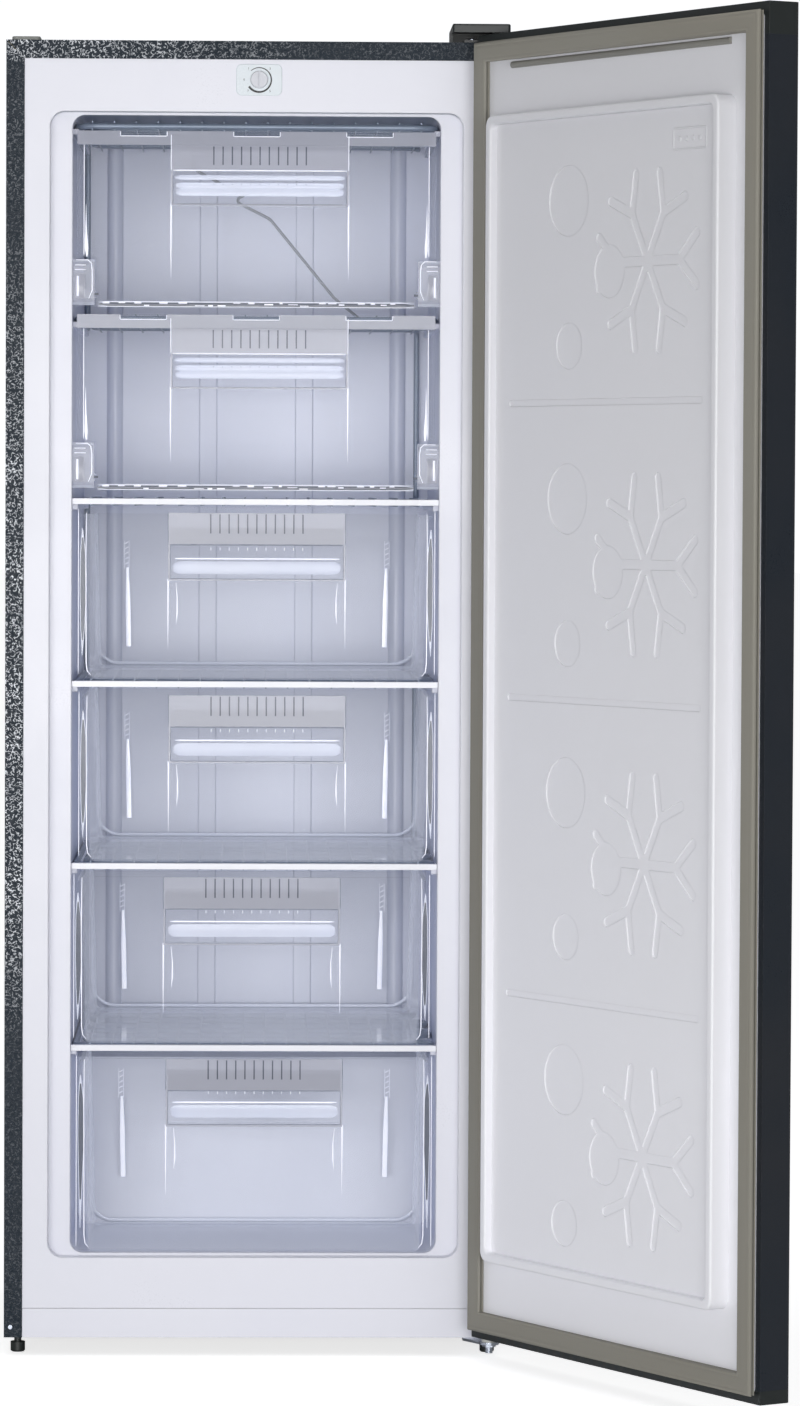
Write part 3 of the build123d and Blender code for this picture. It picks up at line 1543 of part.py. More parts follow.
with BuildPart() as door_liner:
    with BuildSketch(door_face(skin_inner)):
        with Locations((0, (panel_bottom + panel_top) / 2)):
            RectangleRounded(panel_width, panel_top - panel_bottom, panel_radius)
    extrude(amount=-(skin_inner - liner_flat))
    with BuildSketch(door_face(liner_flat)):
        with Locations((0, dyke_middle)):
            RectangleRounded(dyke_width, dyke_top - dyke_bottom, dyke_radius)
    extrude(amount=-dyke_height)
    # the hollow behind the raised field
    with BuildSketch(door_face(skin_inner)):
        with Locations((0, dyke_middle)):
            RectangleRounded(
                dyke_width - 2 * door_liner_wall,
                dyke_top - dyke_bottom - 2 * door_liner_wall,
                dyke_radius - door_liner_wall,
            )
    extrude(amount=-(skin_inner - recess_face - door_liner_wall), mode=Mode.SUBTRACT)
    # the recess inside the raised frame
    with BuildSketch(door_face(crest_face)):
        with Locations((0, dyke_middle)):
            RectangleRounded(
                dyke_width - 2 * dyke_crest,
                dyke_top - dyke_bottom - 2 * dyke_crest,
                dyke_radius - dyke_crest / 2,
            )
    extrude(amount=recess_drop, mode=Mode.SUBTRACT)
    crest = door_liner.faces().sort_by(door_outward)[0]
    fillet(crest.edges(), dyke_edge)
    # pressed-in pattern: cross grooves, flakes and bubbles
    with BuildSketch(door_face(recess_face)):
        with Locations(*[(0, height) for height in ridge_levels]):
            SlotOverall(ridge_length, ridge_width)
        for height in flake_levels:
            with Locations((flake_shift, height)):
                add(flake_shape, rotation=flake_turn)
            for radius, shift, rise in zip(bubble_radii, bubble_shifts, bubble_rises):
                with Locations((flake_shift + shift, height + rise)):
                    Circle(radius)
    extrude(amount=emboss, mode=Mode.SUBTRACT)
    # a plain framed field in the top corner
    with BuildSketch(door_face(recess_face)):
        with Locations((badge_shift, badge_level)):
            RectangleRounded(badge_width, badge_height, badge_radius)
            RectangleRounded(
                badge_width - 2 * badge_border,
                badge_height - 2 * badge_border,
                badge_radius - badge_border,
                mode=Mode.SUBTRACT,
            )
            with GridLocations(badge_dot_pitch, 0, badge_dots, 1):
                Circle(badge_dot_radius)
    extrude(amount=-emboss / 2)
finish(door_liner, "door_liner")

with BuildPart() as door_foam:
    add(skin_space)
    with BuildSketch(door_face(skin_inner)):
        with Locations((0, skin_bottom)):
            Rectangle(fold_opening, skin_top - skin_bottom, align=(Align.CENTER, Align.MIN))
    extrude(amount=skin_sheet)
    with BuildSketch(door_face(skin_inner)):
        with Locations((0, dyke_middle)):
            RectangleRounded(
                dyke_width - 2 * door_liner_wall,
                dyke_top - dyke_bottom - 2 * door_liner_wall,
                dyke_radius - door_liner_wall,
            )
    extrude(amount=-(skin_inner - recess_face - door_liner_wall))
finish(door_foam, "door_foam")


def gasket_ring(outward, thickness, inset, width, radius):
    """One layer of the gasket: a rectangular ring that starts this far out and goes inwards."""
    outer_width = cabinet_width - 2 * gasket_inset - 2 * inset
    outer_height = gasket_top - gasket_bottom - 2 * inset
    with BuildPart() as ring:
        with BuildSketch(door_face(outward)):
            with Locations((0, (gasket_top + gasket_bottom) / 2)):
                Rectangle(outer_width, outer_height)
                Rectangle(outer_width - 2 * width, outer_height - 2 * width, mode=Mode.SUBTRACT)
        extrude(amount=-thickness)
        if radius:
            face = ring.faces().sort_by(door_outward)[0]
            fillet(face.edges(), radius)
    return ring.part


gasket_body_depth = liner_flat - gasket_face - gasket_foot_depth - gasket_neck_depth
magnet_inset = (gasket_width - magnet_width) / 2
gasket_layers = [
    gasket_ring(liner_flat, gasket_foot_depth, 0, gasket_width, 0),
    gasket_ring(
        liner_flat - gasket_foot_depth,
        gasket_neck_depth,
        gasket_neck_inset,
        gasket_width - 2 * gasket_neck_inset,
        0,
    ),
    gasket_ring(gasket_face + gasket_body_depth, gasket_body_depth, 0, gasket_width, gasket_radius),
]
magnet_channel = gasket_ring(
    gasket_face + magnet_cover + magnet_depth + running_fit,
    magnet_depth + 2 * running_fit,
    magnet_inset - running_fit,
    magnet_width + 2 * running_fit,
    0,
)
magnet_ring = gasket_ring(
    gasket_face + magnet_cover + magnet_depth, magnet_depth, magnet_inset, magnet_width, 0
)

with BuildPart() as door_gasket:
    add(gasket_layers)
    add(magnet_channel, mode=Mode.SUBTRACT)
finish(door_gasket, "door_gasket")

with BuildPart() as gasket_magnets:
    add(magnet_ring)
finish(gasket_magnets, "gasket_magnets")

with BuildPart() as door_top_strip:
    with BuildSketch(door_face(liner_flat)):
        with Locations((strip_shift, strip_level)):
            Rectangle(strip_length, 2 * strip_radius)
    extrude(amount=-strip_radius)
    strip_face = door_top_strip.faces().sort_by(door_outward)[0]
    fillet(strip_face.edges().filter_by(Axis.Z, reverse=True), strip_edge)
finish(door_top_strip, "door_top_strip")
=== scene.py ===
import json
import logging
import math
import random
from dataclasses import dataclass
from enum import Enum
from typing import Iterable, Sequence

import bpy
from mathutils import Matrix, Vector


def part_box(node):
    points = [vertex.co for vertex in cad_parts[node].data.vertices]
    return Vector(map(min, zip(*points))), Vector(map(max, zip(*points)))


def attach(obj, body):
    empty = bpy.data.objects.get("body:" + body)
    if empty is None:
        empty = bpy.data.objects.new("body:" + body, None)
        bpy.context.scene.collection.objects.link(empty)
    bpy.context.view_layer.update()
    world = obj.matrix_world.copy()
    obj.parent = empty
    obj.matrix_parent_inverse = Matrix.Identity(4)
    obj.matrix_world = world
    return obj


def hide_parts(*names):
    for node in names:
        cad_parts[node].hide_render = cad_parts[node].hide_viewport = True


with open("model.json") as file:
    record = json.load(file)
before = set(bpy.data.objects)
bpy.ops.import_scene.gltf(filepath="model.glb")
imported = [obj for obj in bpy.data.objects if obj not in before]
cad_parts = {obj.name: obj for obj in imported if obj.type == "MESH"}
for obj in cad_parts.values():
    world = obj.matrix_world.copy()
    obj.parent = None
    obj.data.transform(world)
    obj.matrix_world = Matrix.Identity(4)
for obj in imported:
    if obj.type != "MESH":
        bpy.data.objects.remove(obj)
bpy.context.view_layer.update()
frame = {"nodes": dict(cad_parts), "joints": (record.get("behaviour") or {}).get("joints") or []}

LOG = logging.getLogger("freezer")
MILLIMETRE = 0.001

Colour = tuple[float, float, float]
Spot = tuple[float, float, float]  # how far out, how far down, and the radius there


class Slot(Enum):
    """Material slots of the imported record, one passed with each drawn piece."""

    GASKET = "gasket_rubber"
    PRINT = "black_plastic"
    CLEAR = "clear_plastic"


class Body(Enum):
    """Bodies that drawn pieces ride on."""

    CABINET = "cabinet"
    DOOR = "door"
    DRAWER_1 = "drawer_1"
    DRAWER_2 = "drawer_2"
    DRAWER_3 = "drawer_3"
    DRAWER_4 = "drawer_4"
    FLAP_1 = "flap_1"
    FLAP_2 = "flap_2"


# ------------------------------------------------------------------ node trees
class Graph:
    """A node tree with short ways to add and join its nodes."""

    def __init__(self, tree: bpy.types.NodeTree, keep: bool = False) -> None:
        """Holds a tree, emptied first unless its nodes are to stay.

        Args:
            tree: The node tree of a material, world or group.
            keep: Whether its nodes stay.
        """
        self.tree = tree
        if not keep:
            tree.nodes.clear()

    def node(self, kind: str, **settings: object) -> bpy.types.Node:
        """Adds a node.

        Args:
            kind: Its Blender type name.
            **settings: Properties to set on it.

        Returns:
            The new node.
        """
        made = self.tree.nodes.new(kind)
        for name, value in settings.items():
            setattr(made, name, value)
        return made

    def feed(self, target: bpy.types.NodeSocket, source: object) -> None:
        """Links a socket into another, or sets it to a plain value.

        Args:
            target: The input to fill.
            source: An output socket, a number or a colour.
        """
        if isinstance(source, bpy.types.NodeSocket):
            self.tree.links.new(source, target)
        else:
            target.default_value = source

    def math(self, operation: str, *values: object, clamp: bool = False) -> bpy.types.NodeSocket:
        """Adds a Math node.

        Args:
            operation: Its operation.
            *values: Numbers or sockets, in order.
            clamp: Whether the result stays between 0 and 1.

        Returns:
            The result.
        """
        made = self.node("ShaderNodeMath", operation=operation, use_clamp=clamp)
        for socket, value in zip(made.inputs, values):
            self.feed(socket, value)
        return made.outputs[0]

    def spread(
        self, value: object, low: float, high: float, to_low: float, to_high: float
    ) -> bpy.types.NodeSocket:
        """Maps a range of values to another, and stays inside it.

        Args:
            value: The socket to map.
            low: Where the range starts.
            high: Where it ends.
            to_low: What the start becomes.
            to_high: What the end becomes.

        Returns:
            The mapped value.
        """
        made = self.node("ShaderNodeMapRange", clamp=True)
        for socket, given in zip(made.inputs, (value, low, high, to_low, to_high)):
            self.feed(socket, given)
        return made.outputs[0]

    def mix(self, share: object, low: object, high: object) -> bpy.types.NodeSocket:
        """Mixes two colours.

        Args:
            share: How much of the second, from 0 to 1.
            low: The first colour, a socket or three numbers.
            high: The second colour.

        Returns:
            The mixed colour.
        """
        made = self.node("ShaderNodeMix", data_type="RGBA")
        self.feed(made.inputs[0], share)
        for socket, colour in ((made.inputs[6], low), (made.inputs[7], high)):
            self.feed(socket, colour if isinstance(colour, bpy.types.NodeSocket) else (*colour, 1.0))
        return made.outputs[2]

    def noise(self, where: object, scale: object, detail: float = 2.0) -> bpy.types.NodeSocket:
        """Adds a noise texture.

        Args:
            where: The position socket.
            scale: Its scale, per metre.
            detail: How many finer layers it has.

        Returns:
            The noise, from 0 to 1.
        """
        made = self.node("ShaderNodeTexNoise")
        self.feed(made.inputs["Vector"], where)
        self.feed(made.inputs["Scale"], scale)
        made.inputs["Detail"].default_value = detail
        return made.outputs[0]

    def tint(self, shader: bpy.types.Node, share: object, colour: Colour) -> None:
        """Mixes a colour over what feeds a shader's base colour so far.

        Args:
            shader: The Principled node.
            share: How much of the colour, from 0 to 1.
            colour: The colour.
        """
        base = shader.inputs["Base Color"]
        self.feed(base, self.mix(share, base.links[0].from_socket, colour))

    def place(self) -> bpy.types.NodeSocket:
        """Returns the position on the piece, in metres, as it was at rest."""
        return self.node("ShaderNodeTexCoord").outputs["Object"]

    def facing(self) -> bpy.types.NodeSocket:
        """Returns the surface's own normal, as it was at rest."""
        return self.node("ShaderNodeTexCoord").outputs["Normal"]

    def parts(self, vector: bpy.types.NodeSocket) -> Sequence[bpy.types.NodeSocket]:
        """Splits a vector.

        Args:
            vector: The vector socket.

        Returns:
            Its X, Y and Z.
        """
        made = self.node("ShaderNodeSeparateXYZ")
        self.feed(made.inputs[0], vector)
        return made.outputs


@dataclass(frozen=True)
class Port:
    """A named socket of a shared effect."""

    name: str
    kind: str = "NodeSocketFloat"
    value: object = None


class Effects:
    """Shader node groups that more than one finish uses, each built once."""

    def __init__(self) -> None:
        """Starts with no group built."""
        self.built: dict[str, bpy.types.NodeTree] = {}

    def open(
        self, name: str, inputs: Iterable[Port], outputs: Iterable[Port]
    ) -> tuple[Graph, bpy.types.Node, bpy.types.Node]:
        """Makes an empty group with its sockets.

        Args:
            name: The group's name.
            inputs: Its inputs.
            outputs: Its outputs.

        Returns:
            The graph, its input node and its output node.
        """
        tree = bpy.data.node_groups.new(name, "ShaderNodeTree")
        for port in inputs:
            socket = tree.interface.new_socket(name=port.name, in_out="INPUT", socket_type=port.kind)
            if port.value is not None:
                socket.default_value = port.value
        for port in outputs:
            tree.interface.new_socket(name=port.name, in_out="OUTPUT", socket_type=port.kind)
        graph = Graph(tree)
        self.built[name] = tree
        return graph, graph.node("NodeGroupInput"), graph.node("NodeGroupOutput")

    def use(self, graph: Graph, name: str, **values: object) -> bpy.types.Node:
        """Places a group in a material.

        Args:
            graph: The material's graph.
            name: The group's name.
            **values: What its inputs get, with _ for a space.

        Returns:
            The group's node.
        """
        if name not in self.built:
            getattr(self, name)()
        made = graph.node("ShaderNodeGroup", node_tree=self.built[name])
        for key, value in values.items():
            socket = made.inputs[key.replace("_", " ")]
            plain = isinstance(value, tuple) and len(value) == 3
            graph.feed(socket, (*value, 1.0) if plain else value)
        return made

    def grain(self) -> None:
        """Fine moulded or painted grain, with slow changes of tone over the surface."""
        graph, given, made = self.open(
            "grain",
            [
                Port("Colour", "NodeSocketColor"),
                Port("Shade", "NodeSocketColor"),
                Port("Roughness", value=0.5),
                Port("Scale", value=900.0),
                Port("Cloud Scale", value=6.0),
            ],
            [Port("Colour", "NodeSocketColor"), Port("Roughness"), Port("Height")],
        )
        where = graph.place()
        fine = graph.noise(where, given.outputs["Scale"], 3.0)
        clouds = graph.noise(where, given.outputs["Cloud Scale"], 4.0)
        share = graph.spread(clouds, 0.35, 0.68, 0.0, 1.0)
        toned = graph.mix(share, given.outputs["Colour"], given.outputs["Shade"])
        graph.feed(made.inputs["Colour"], toned)
        shift = graph.math("MULTIPLY_ADD", clouds, 0.24, -0.12)
        wobble = graph.math("MULTIPLY_ADD", fine, 0.12, -0.06)
        rough = graph.math("ADD", given.outputs["Roughness"], graph.math("ADD", shift, wobble))
        graph.feed(made.inputs["Roughness"], rough)
        graph.feed(made.inputs["Height"], fine)

    def hammer(self) -> None:
        """Hammered paint: soft pits, and painted highlights as short bright worms, dense on the front
        of the left and top flange and faint elsewhere.
        """
        graph, given, made = self.open(
            "hammer", [Port("Scale", value=420.0)], [Port("Height"), Port("Painted Glint")]
        )
        where = graph.place()
        broad = graph.noise(where, given.outputs["Scale"], 1.0)
        ridge = graph.math("ABSOLUTE", graph.math("SUBTRACT", broad, 0.5))
        worm = graph.spread(ridge, 0.018, 0.062, 1.0, 0.0)
        finer = graph.math("MULTIPLY", given.outputs["Scale"], 0.8)
        breaks = graph.spread(graph.noise(where, finer, 0.0), 0.39, 0.49, 0.0, 1.0)
        x, _, z = graph.parts(where)
        # Zones of the painted highlight: the left flange between two heights, and the top flange,
        # fading to the right.
        flange_inner, flange_outer = -0.25, -0.255
        upper_start, upper_end = 0.95, 1.22
        lower_end, lower_start = 0.34, 0.50
        top_low, top_high = 1.412, 1.416
        fade_start, fade_end = -0.16, 0.06
        heights = graph.math(
            "MULTIPLY",
            graph.spread(z, upper_start, upper_end, 1.0, 0.16),
            graph.spread(z, lower_end, lower_start, 0.08, 1.0),
        )
        beside = graph.math(
            "MULTIPLY", graph.spread(x, flange_outer, flange_inner, 1.0, 0.0), heights
        )
        above = graph.math(
            "MULTIPLY",
            graph.spread(z, top_low, top_high, 0.0, 1.0),
            graph.spread(x, fade_start, fade_end, 0.80, 0.10),
        )
        forward = graph.spread(graph.parts(graph.facing())[1], -0.8, -0.5, 1.0, 0.0)
        lit = graph.math("MULTIPLY", graph.math("MAXIMUM", beside, above), forward)
        zone = graph.math("MAXIMUM", lit, 0.08)
        patches = graph.spread(graph.noise(where, 22.0, 2.0), 0.35, 0.6, 0.6, 1.0)
        # Painted highlight: the worms inside the zones, broken into patches.
        painted_glint = graph.math("MULTIPLY", graph.math("MULTIPLY", worm, breaks), zone)
        graph.feed(made.inputs["Painted Glint"], graph.math("MULTIPLY", painted_glint, patches))
        graph.feed(made.inputs["Height"], graph.spread(ridge, 0.0, 0.14, 1.0, 0.0))

    def dust(self) -> None:
        """Dust that settles on faces that look up."""
        graph, given, made = self.open(
            "dust",
            [
                Port("Colour", "NodeSocketColor"),
                Port("Roughness", value=0.5),
                Port("Amount", value=0.3),
            ],
            [Port("Colour", "NodeSocketColor"), Port("Roughness")],
        )
        upward = graph.parts(graph.facing())[2]
        flat = graph.spread(upward, 0.5, 1.0, 0.0, 1.0)
        patches = graph.spread(graph.noise(graph.place(), 38.0, 6.0), 0.3, 0.75, 0.25, 1.0)
        share = graph.math("MULTIPLY", graph.math("MULTIPLY", flat, patches), given.outputs["Amount"])
        dust_colour = (0.46, 0.45, 0.43)
        graph.feed(made.inputs["Colour"], graph.mix(share, given.outputs["Colour"], dust_colour))
        lift = graph.math("MULTIPLY", share, 0.35)
        rough = graph.math("ADD", given.outputs["Roughness"], lift, clamp=True)
        graph.feed(made.inputs["Roughness"], rough)

    def drawn_lines(self) -> None:
        """Fine lines left along one axis by rolling or brushing."""
        graph, given, made = self.open(
            "drawn_lines",
            [Port("Across", value=1400.0), Port("Along", value=12.0)],
            [Port("Height"), Port("Tone")],
        )
        x, y, z = graph.parts(graph.place())
        stretched = graph.node("ShaderNodeCombineXYZ")
        graph.feed(stretched.inputs[0], graph.math("MULTIPLY", x, given.outputs["Across"]))
        graph.feed(stretched.inputs[1], graph.math("MULTIPLY", y, given.outputs["Across"]))
        graph.feed(stretched.inputs[2], graph.math("MULTIPLY", z, given.outputs["Along"]))
        lines = graph.noise(stretched.outputs[0], 1.0, 3.0)
        graph.feed(made.inputs["Height"], lines)
        graph.feed(made.inputs["Tone"], graph.spread(lines, 0.3, 0.7, 0.0, 1.0))

    def clear_rims(self) -> None:
        """Where a clear moulding looks milky or dark: its edges, which get a painted highlight, its
        raised frosted pads, and its grooves, which get painted shade on the drawers and flaps.
        """
        graph, given, made = self.open(
            "clear_rims",
            [Port("Pad", value=-0.2366), Port("Groove", value=-0.2358)],
            [Port("Rim"), Port("Pad"), Port("Groove"), Port("Ripple")],
        )
        where = graph.place()
        y = graph.parts(where)[1]
        to_front = graph.math("ABSOLUTE", graph.parts(graph.facing())[1])
        graph.feed(made.inputs["Rim"], graph.spread(to_front, 0.35, 0.9, 1.0, 0.0))
        front = graph.math("GREATER_THAN", to_front, 0.8)
        proud = graph.math("LESS_THAN", y, given.outputs["Pad"])
        flush = graph.math("LESS_THAN", y, given.outputs["Groove"])
        graph.feed(made.inputs["Pad"], graph.math("MULTIPLY", proud, front))
        sunk = graph.math("MULTIPLY", graph.math("SUBTRACT", flush, proud), front)
        graph.feed(made.inputs["Groove"], sunk)
        graph.feed(made.inputs["Ripple"], graph.noise(where, 14.0, 2.0))


EFFECTS = Effects()


# ------------------------------------------------------------------ finishes
def open_material(name: str) -> tuple[bpy.types.Material, Graph, bpy.types.Node]:
    """Makes a material with its shader and output.

    Args:
        name: The material's name.

    Returns:
        The material, its graph and its Principled node.
    """
    material = bpy.data.materials.new(name)
    material.use_nodes = True
    graph = Graph(material.node_tree)
    shader = graph.node("ShaderNodeBsdfPrincipled")
    output = graph.node("ShaderNodeOutputMaterial")
    graph.feed(output.inputs[0], shader.outputs[0])
    return material, graph, shader


@dataclass(frozen=True)
class Finish:
    """What every finish has; each kind adds its own nodes to it."""

    name: str
    colour: Colour
    shade: Colour
    roughness: float = 0.4
    grain_scale: float = 900.0
    cloud_scale: float = 6.0
    grain_depth: float = 0.02
    round_edges: float = 0.6
    dust: float = 0.0

    def relief(self, graph: Graph, shader: bpy.types.Node, height: object, depth: float) -> None:
        """Bumps the surface and softens its sharp edges.

        Args:
            graph: The material's graph.
            shader: Its Principled node.
            height: The height socket.
            depth: How deep the relief is, in millimetres.
        """
        bump = graph.node("ShaderNodeBump")
        bump.inputs["Distance"].default_value = depth * MILLIMETRE
        graph.feed(bump.inputs["Height"], height)
        if self.round_edges:
            edges = graph.node("ShaderNodeBevel", samples=4)
            edges.inputs["Radius"].default_value = self.round_edges * MILLIMETRE
            graph.feed(bump.inputs["Normal"], edges.outputs[0])
        graph.feed(shader.inputs["Normal"], bump.outputs[0])

    def make(self) -> bpy.types.Material:
        """Makes the material; each kind of finish has its own way."""
        raise NotImplementedError

    def grained(self, graph: Graph) -> bpy.types.Node:
        """Adds the finish's own grain.

        Args:
            graph: The material's graph.

        Returns:
            The grain's node.
        """
        return EFFECTS.use(
            graph, "grain", Colour=self.colour, Shade=self.shade, Roughness=self.roughness,
            Scale=self.grain_scale, Cloud_Scale=self.cloud_scale,
        )

    def body(self, graph: Graph, shader: bpy.types.Node) -> bpy.types.Node:
        """Adds the grain and, if the finish has any, dust.

        Args:
            graph: The material's graph.
            shader: Its Principled node.

        Returns:
            The grain's node.
        """
        grain = self.grained(graph)
        last = grain
        if self.dust:
            colour, rough = grain.outputs["Colour"], grain.outputs["Roughness"]
            last = EFFECTS.use(graph, "dust", Colour=colour, Roughness=rough, Amount=self.dust)
        graph.feed(shader.inputs["Base Color"], last.outputs["Colour"])
        graph.feed(shader.inputs["Roughness"], last.outputs["Roughness"])
        return grain


@dataclass(frozen=True)
class Plastic(Finish):
    """Opaque moulded plastic or rubber."""

    gloss: float = 0.5
    # Strength of painted light that the surface gives off in its own colour; 0 for none.
    painted_glow: float = 0.0

    def make(self) -> bpy.types.Material:
        """Makes the material.

        Returns:
            The material.
        """
        material, graph, shader = open_material(self.name)
        grain = self.body(graph, shader)
        shader.inputs["Specular IOR Level"].default_value = self.gloss
        # Painted light: the surface gives off its grain's colour.
        if self.painted_glow:
            graph.feed(shader.inputs["Emission Color"], grain.outputs["Colour"])
            shader.inputs["Emission Strength"].default_value = self.painted_glow
        self.relief(graph, shader, grain.outputs["Height"], self.grain_depth)
        return material


@dataclass(frozen=True)
class ShadedLiner(Plastic):
    """Vacuum-formed sheet with painted shade: its tone shifts to a shade colour along an axis, and its
    ceiling, if it has one, is painted darker.
    """

    axis: int = 1
    near: float = -0.25
    far: float = -0.12
    # Painted shade colour at the far end of the axis.
    far_shade_colour: Colour = (0.77, 0.80, 0.93)
    ceiling: float = 0.0
    ceiling_blend: float = 0.02
    ceiling_facing: tuple[float, float] = (-0.9, -0.6)
    # Painted shade colour of the ceiling's downward faces.
    ceiling_shade_colour: Colour = (0.25, 0.29, 0.36)

    def make(self) -> bpy.types.Material:
        """Makes the material.

        Returns:
            The material.
        """
        material = super().make()
        graph = Graph(material.node_tree, keep=True)
        shader = next(node for node in graph.tree.nodes if node.type == "BSDF_PRINCIPLED")
        along = graph.parts(graph.place())[self.axis]
        # Painted shade: the tone shifts along the axis towards the far shade colour.
        graph.tint(shader, graph.spread(along, self.near, self.far, 0.0, 1.0), self.far_shade_colour)
        # Painted shade on downward faces above the ceiling height.
        if self.ceiling:
            height = graph.parts(graph.place())[2]
            upward = graph.parts(graph.facing())[2]
            above = graph.spread(height, self.ceiling - self.ceiling_blend, self.ceiling, 0.0, 1.0)
            down = graph.spread(upward, *self.ceiling_facing, 1.0, 0.0)
            graph.tint(shader, graph.math("MULTIPLY", above, down), self.ceiling_shade_colour)
        return material


@dataclass(frozen=True)
class HammeredPaint(Finish):
    """Dark stoved paint with a hammered surface and painted highlights as bright worms."""

    pit_scale: float = 420.0
    pit_depth: float = 0.5
    gloss: float = 0.5
    # Colour of the painted highlight worms.
    painted_glint: Colour = (0.92, 0.95, 1.0)

    def make(self) -> bpy.types.Material:
        """Makes the material.

        Returns:
            The material.
        """
        material, graph, shader = open_material(self.name)
        self.body(graph, shader)
        pits = EFFECTS.use(graph, "hammer", Scale=self.pit_scale)
        # Painted highlight: the worms' colour mixed over the base colour.
        graph.tint(shader, pits.outputs["Painted Glint"], self.painted_glint)
        shader.inputs["Specular IOR Level"].default_value = self.gloss
        self.relief(graph, shader, pits.outputs["Height"], self.pit_depth)
        return material


@dataclass(frozen=True)
class Metal(Finish):
    """Bare, plated or drawn metal."""

    across: float = 1400.0
    along: float = 12.0
    line_depth: float = 0.01
    line_tone: float = 0.35
    metallic: float = 1.0

    def make(self) -> bpy.types.Material:
        """Makes the material.

        Returns:
            The material.
        """
        material, graph, shader = open_material(self.name)
        self.body(graph, shader)
        lines = EFFECTS.use(graph, "drawn_lines", Across=self.across, Along=self.along)
        shader.inputs["Metallic"].default_value = self.metallic
        graph.tint(shader, graph.math("MULTIPLY", lines.outputs["Tone"], self.line_tone), self.shade)
        self.relief(graph, shader, lines.outputs["Height"], self.line_depth)
        return material


@dataclass(frozen=True)
class ClearPlastic(Finish):
    """Clear moulded plastic: a painted highlight on its edges, milky pads, grooves in their own colour
    (painted shade by default), clear walls between, and a faint painted light of its own.
    """

    # Painted highlight colour of the edges.
    rim_highlight_colour: Colour = (0.84, 0.87, 0.97)
    rim_opacity: float = 0.45
    pad_colour: Colour = (0.44, 0.45, 0.52)
    pad_opacity: float = 0.72
    # Groove colour; the dark default is painted shade.
    groove_colour: Colour = (0.12, 0.13, 0.16)
    groove_opacity: float = 0.8
    wall_opacity: float = 0.05
    grazing_opacity: float = 0.45
    ripple_depth: float = 0.4
    gloss: float = 0.2
    # Strength of painted light that the surface gives off in its own colour.
    painted_glow: float = 0.12
    ior: float = 1.55
    graze_blend: float = 0.22
    graze_range: tuple[float, float] = (0.04, 0.9)

    def make(self) -> bpy.types.Material:
        """Makes the material.

        Returns:
            The material.
        """
        material, graph, shader = open_material(self.name)
        rims = EFFECTS.use(graph, "clear_rims")
        grain = self.grained(graph)
        # Painted highlight on the edges, the milky pads, and the groove colour in the grooves.
        edged = graph.mix(rims.outputs["Rim"], grain.outputs["Colour"], self.rim_highlight_colour)
        padded = graph.mix(rims.outputs["Pad"], edged, self.pad_colour)
        grooved = graph.mix(rims.outputs["Groove"], padded, self.groove_colour)
        graph.feed(shader.inputs["Base Color"], grooved)
        # Painted light: the surface gives off its own colour.
        graph.feed(shader.inputs["Emission Color"], grooved)
        shader.inputs["Emission Strength"].default_value = self.painted_glow
        shader.inputs["Roughness"].default_value = self.roughness
        shader.inputs["IOR"].default_value = self.ior
        shader.inputs["Specular IOR Level"].default_value = self.gloss
        # Painted reflection: more opaque at grazing angles, where clear plastic reflects more.
        graze = graph.node("ShaderNodeLayerWeight")
        graze.inputs["Blend"].default_value = self.graze_blend
        solid = graph.spread(
            graze.outputs["Fresnel"], *self.graze_range, self.wall_opacity, self.grazing_opacity
        )
        for mask, opacity in (
            ("Rim", self.rim_opacity),
            ("Pad", self.pad_opacity),
            ("Groove", self.groove_opacity),
        ):
            share = graph.math("MULTIPLY", rims.outputs[mask], opacity)
            solid = graph.math("MAXIMUM", solid, share)
        graph.feed(shader.inputs["Alpha"], solid)
        self.relief(graph, shader, rims.outputs["Ripple"], self.ripple_depth)
        return material


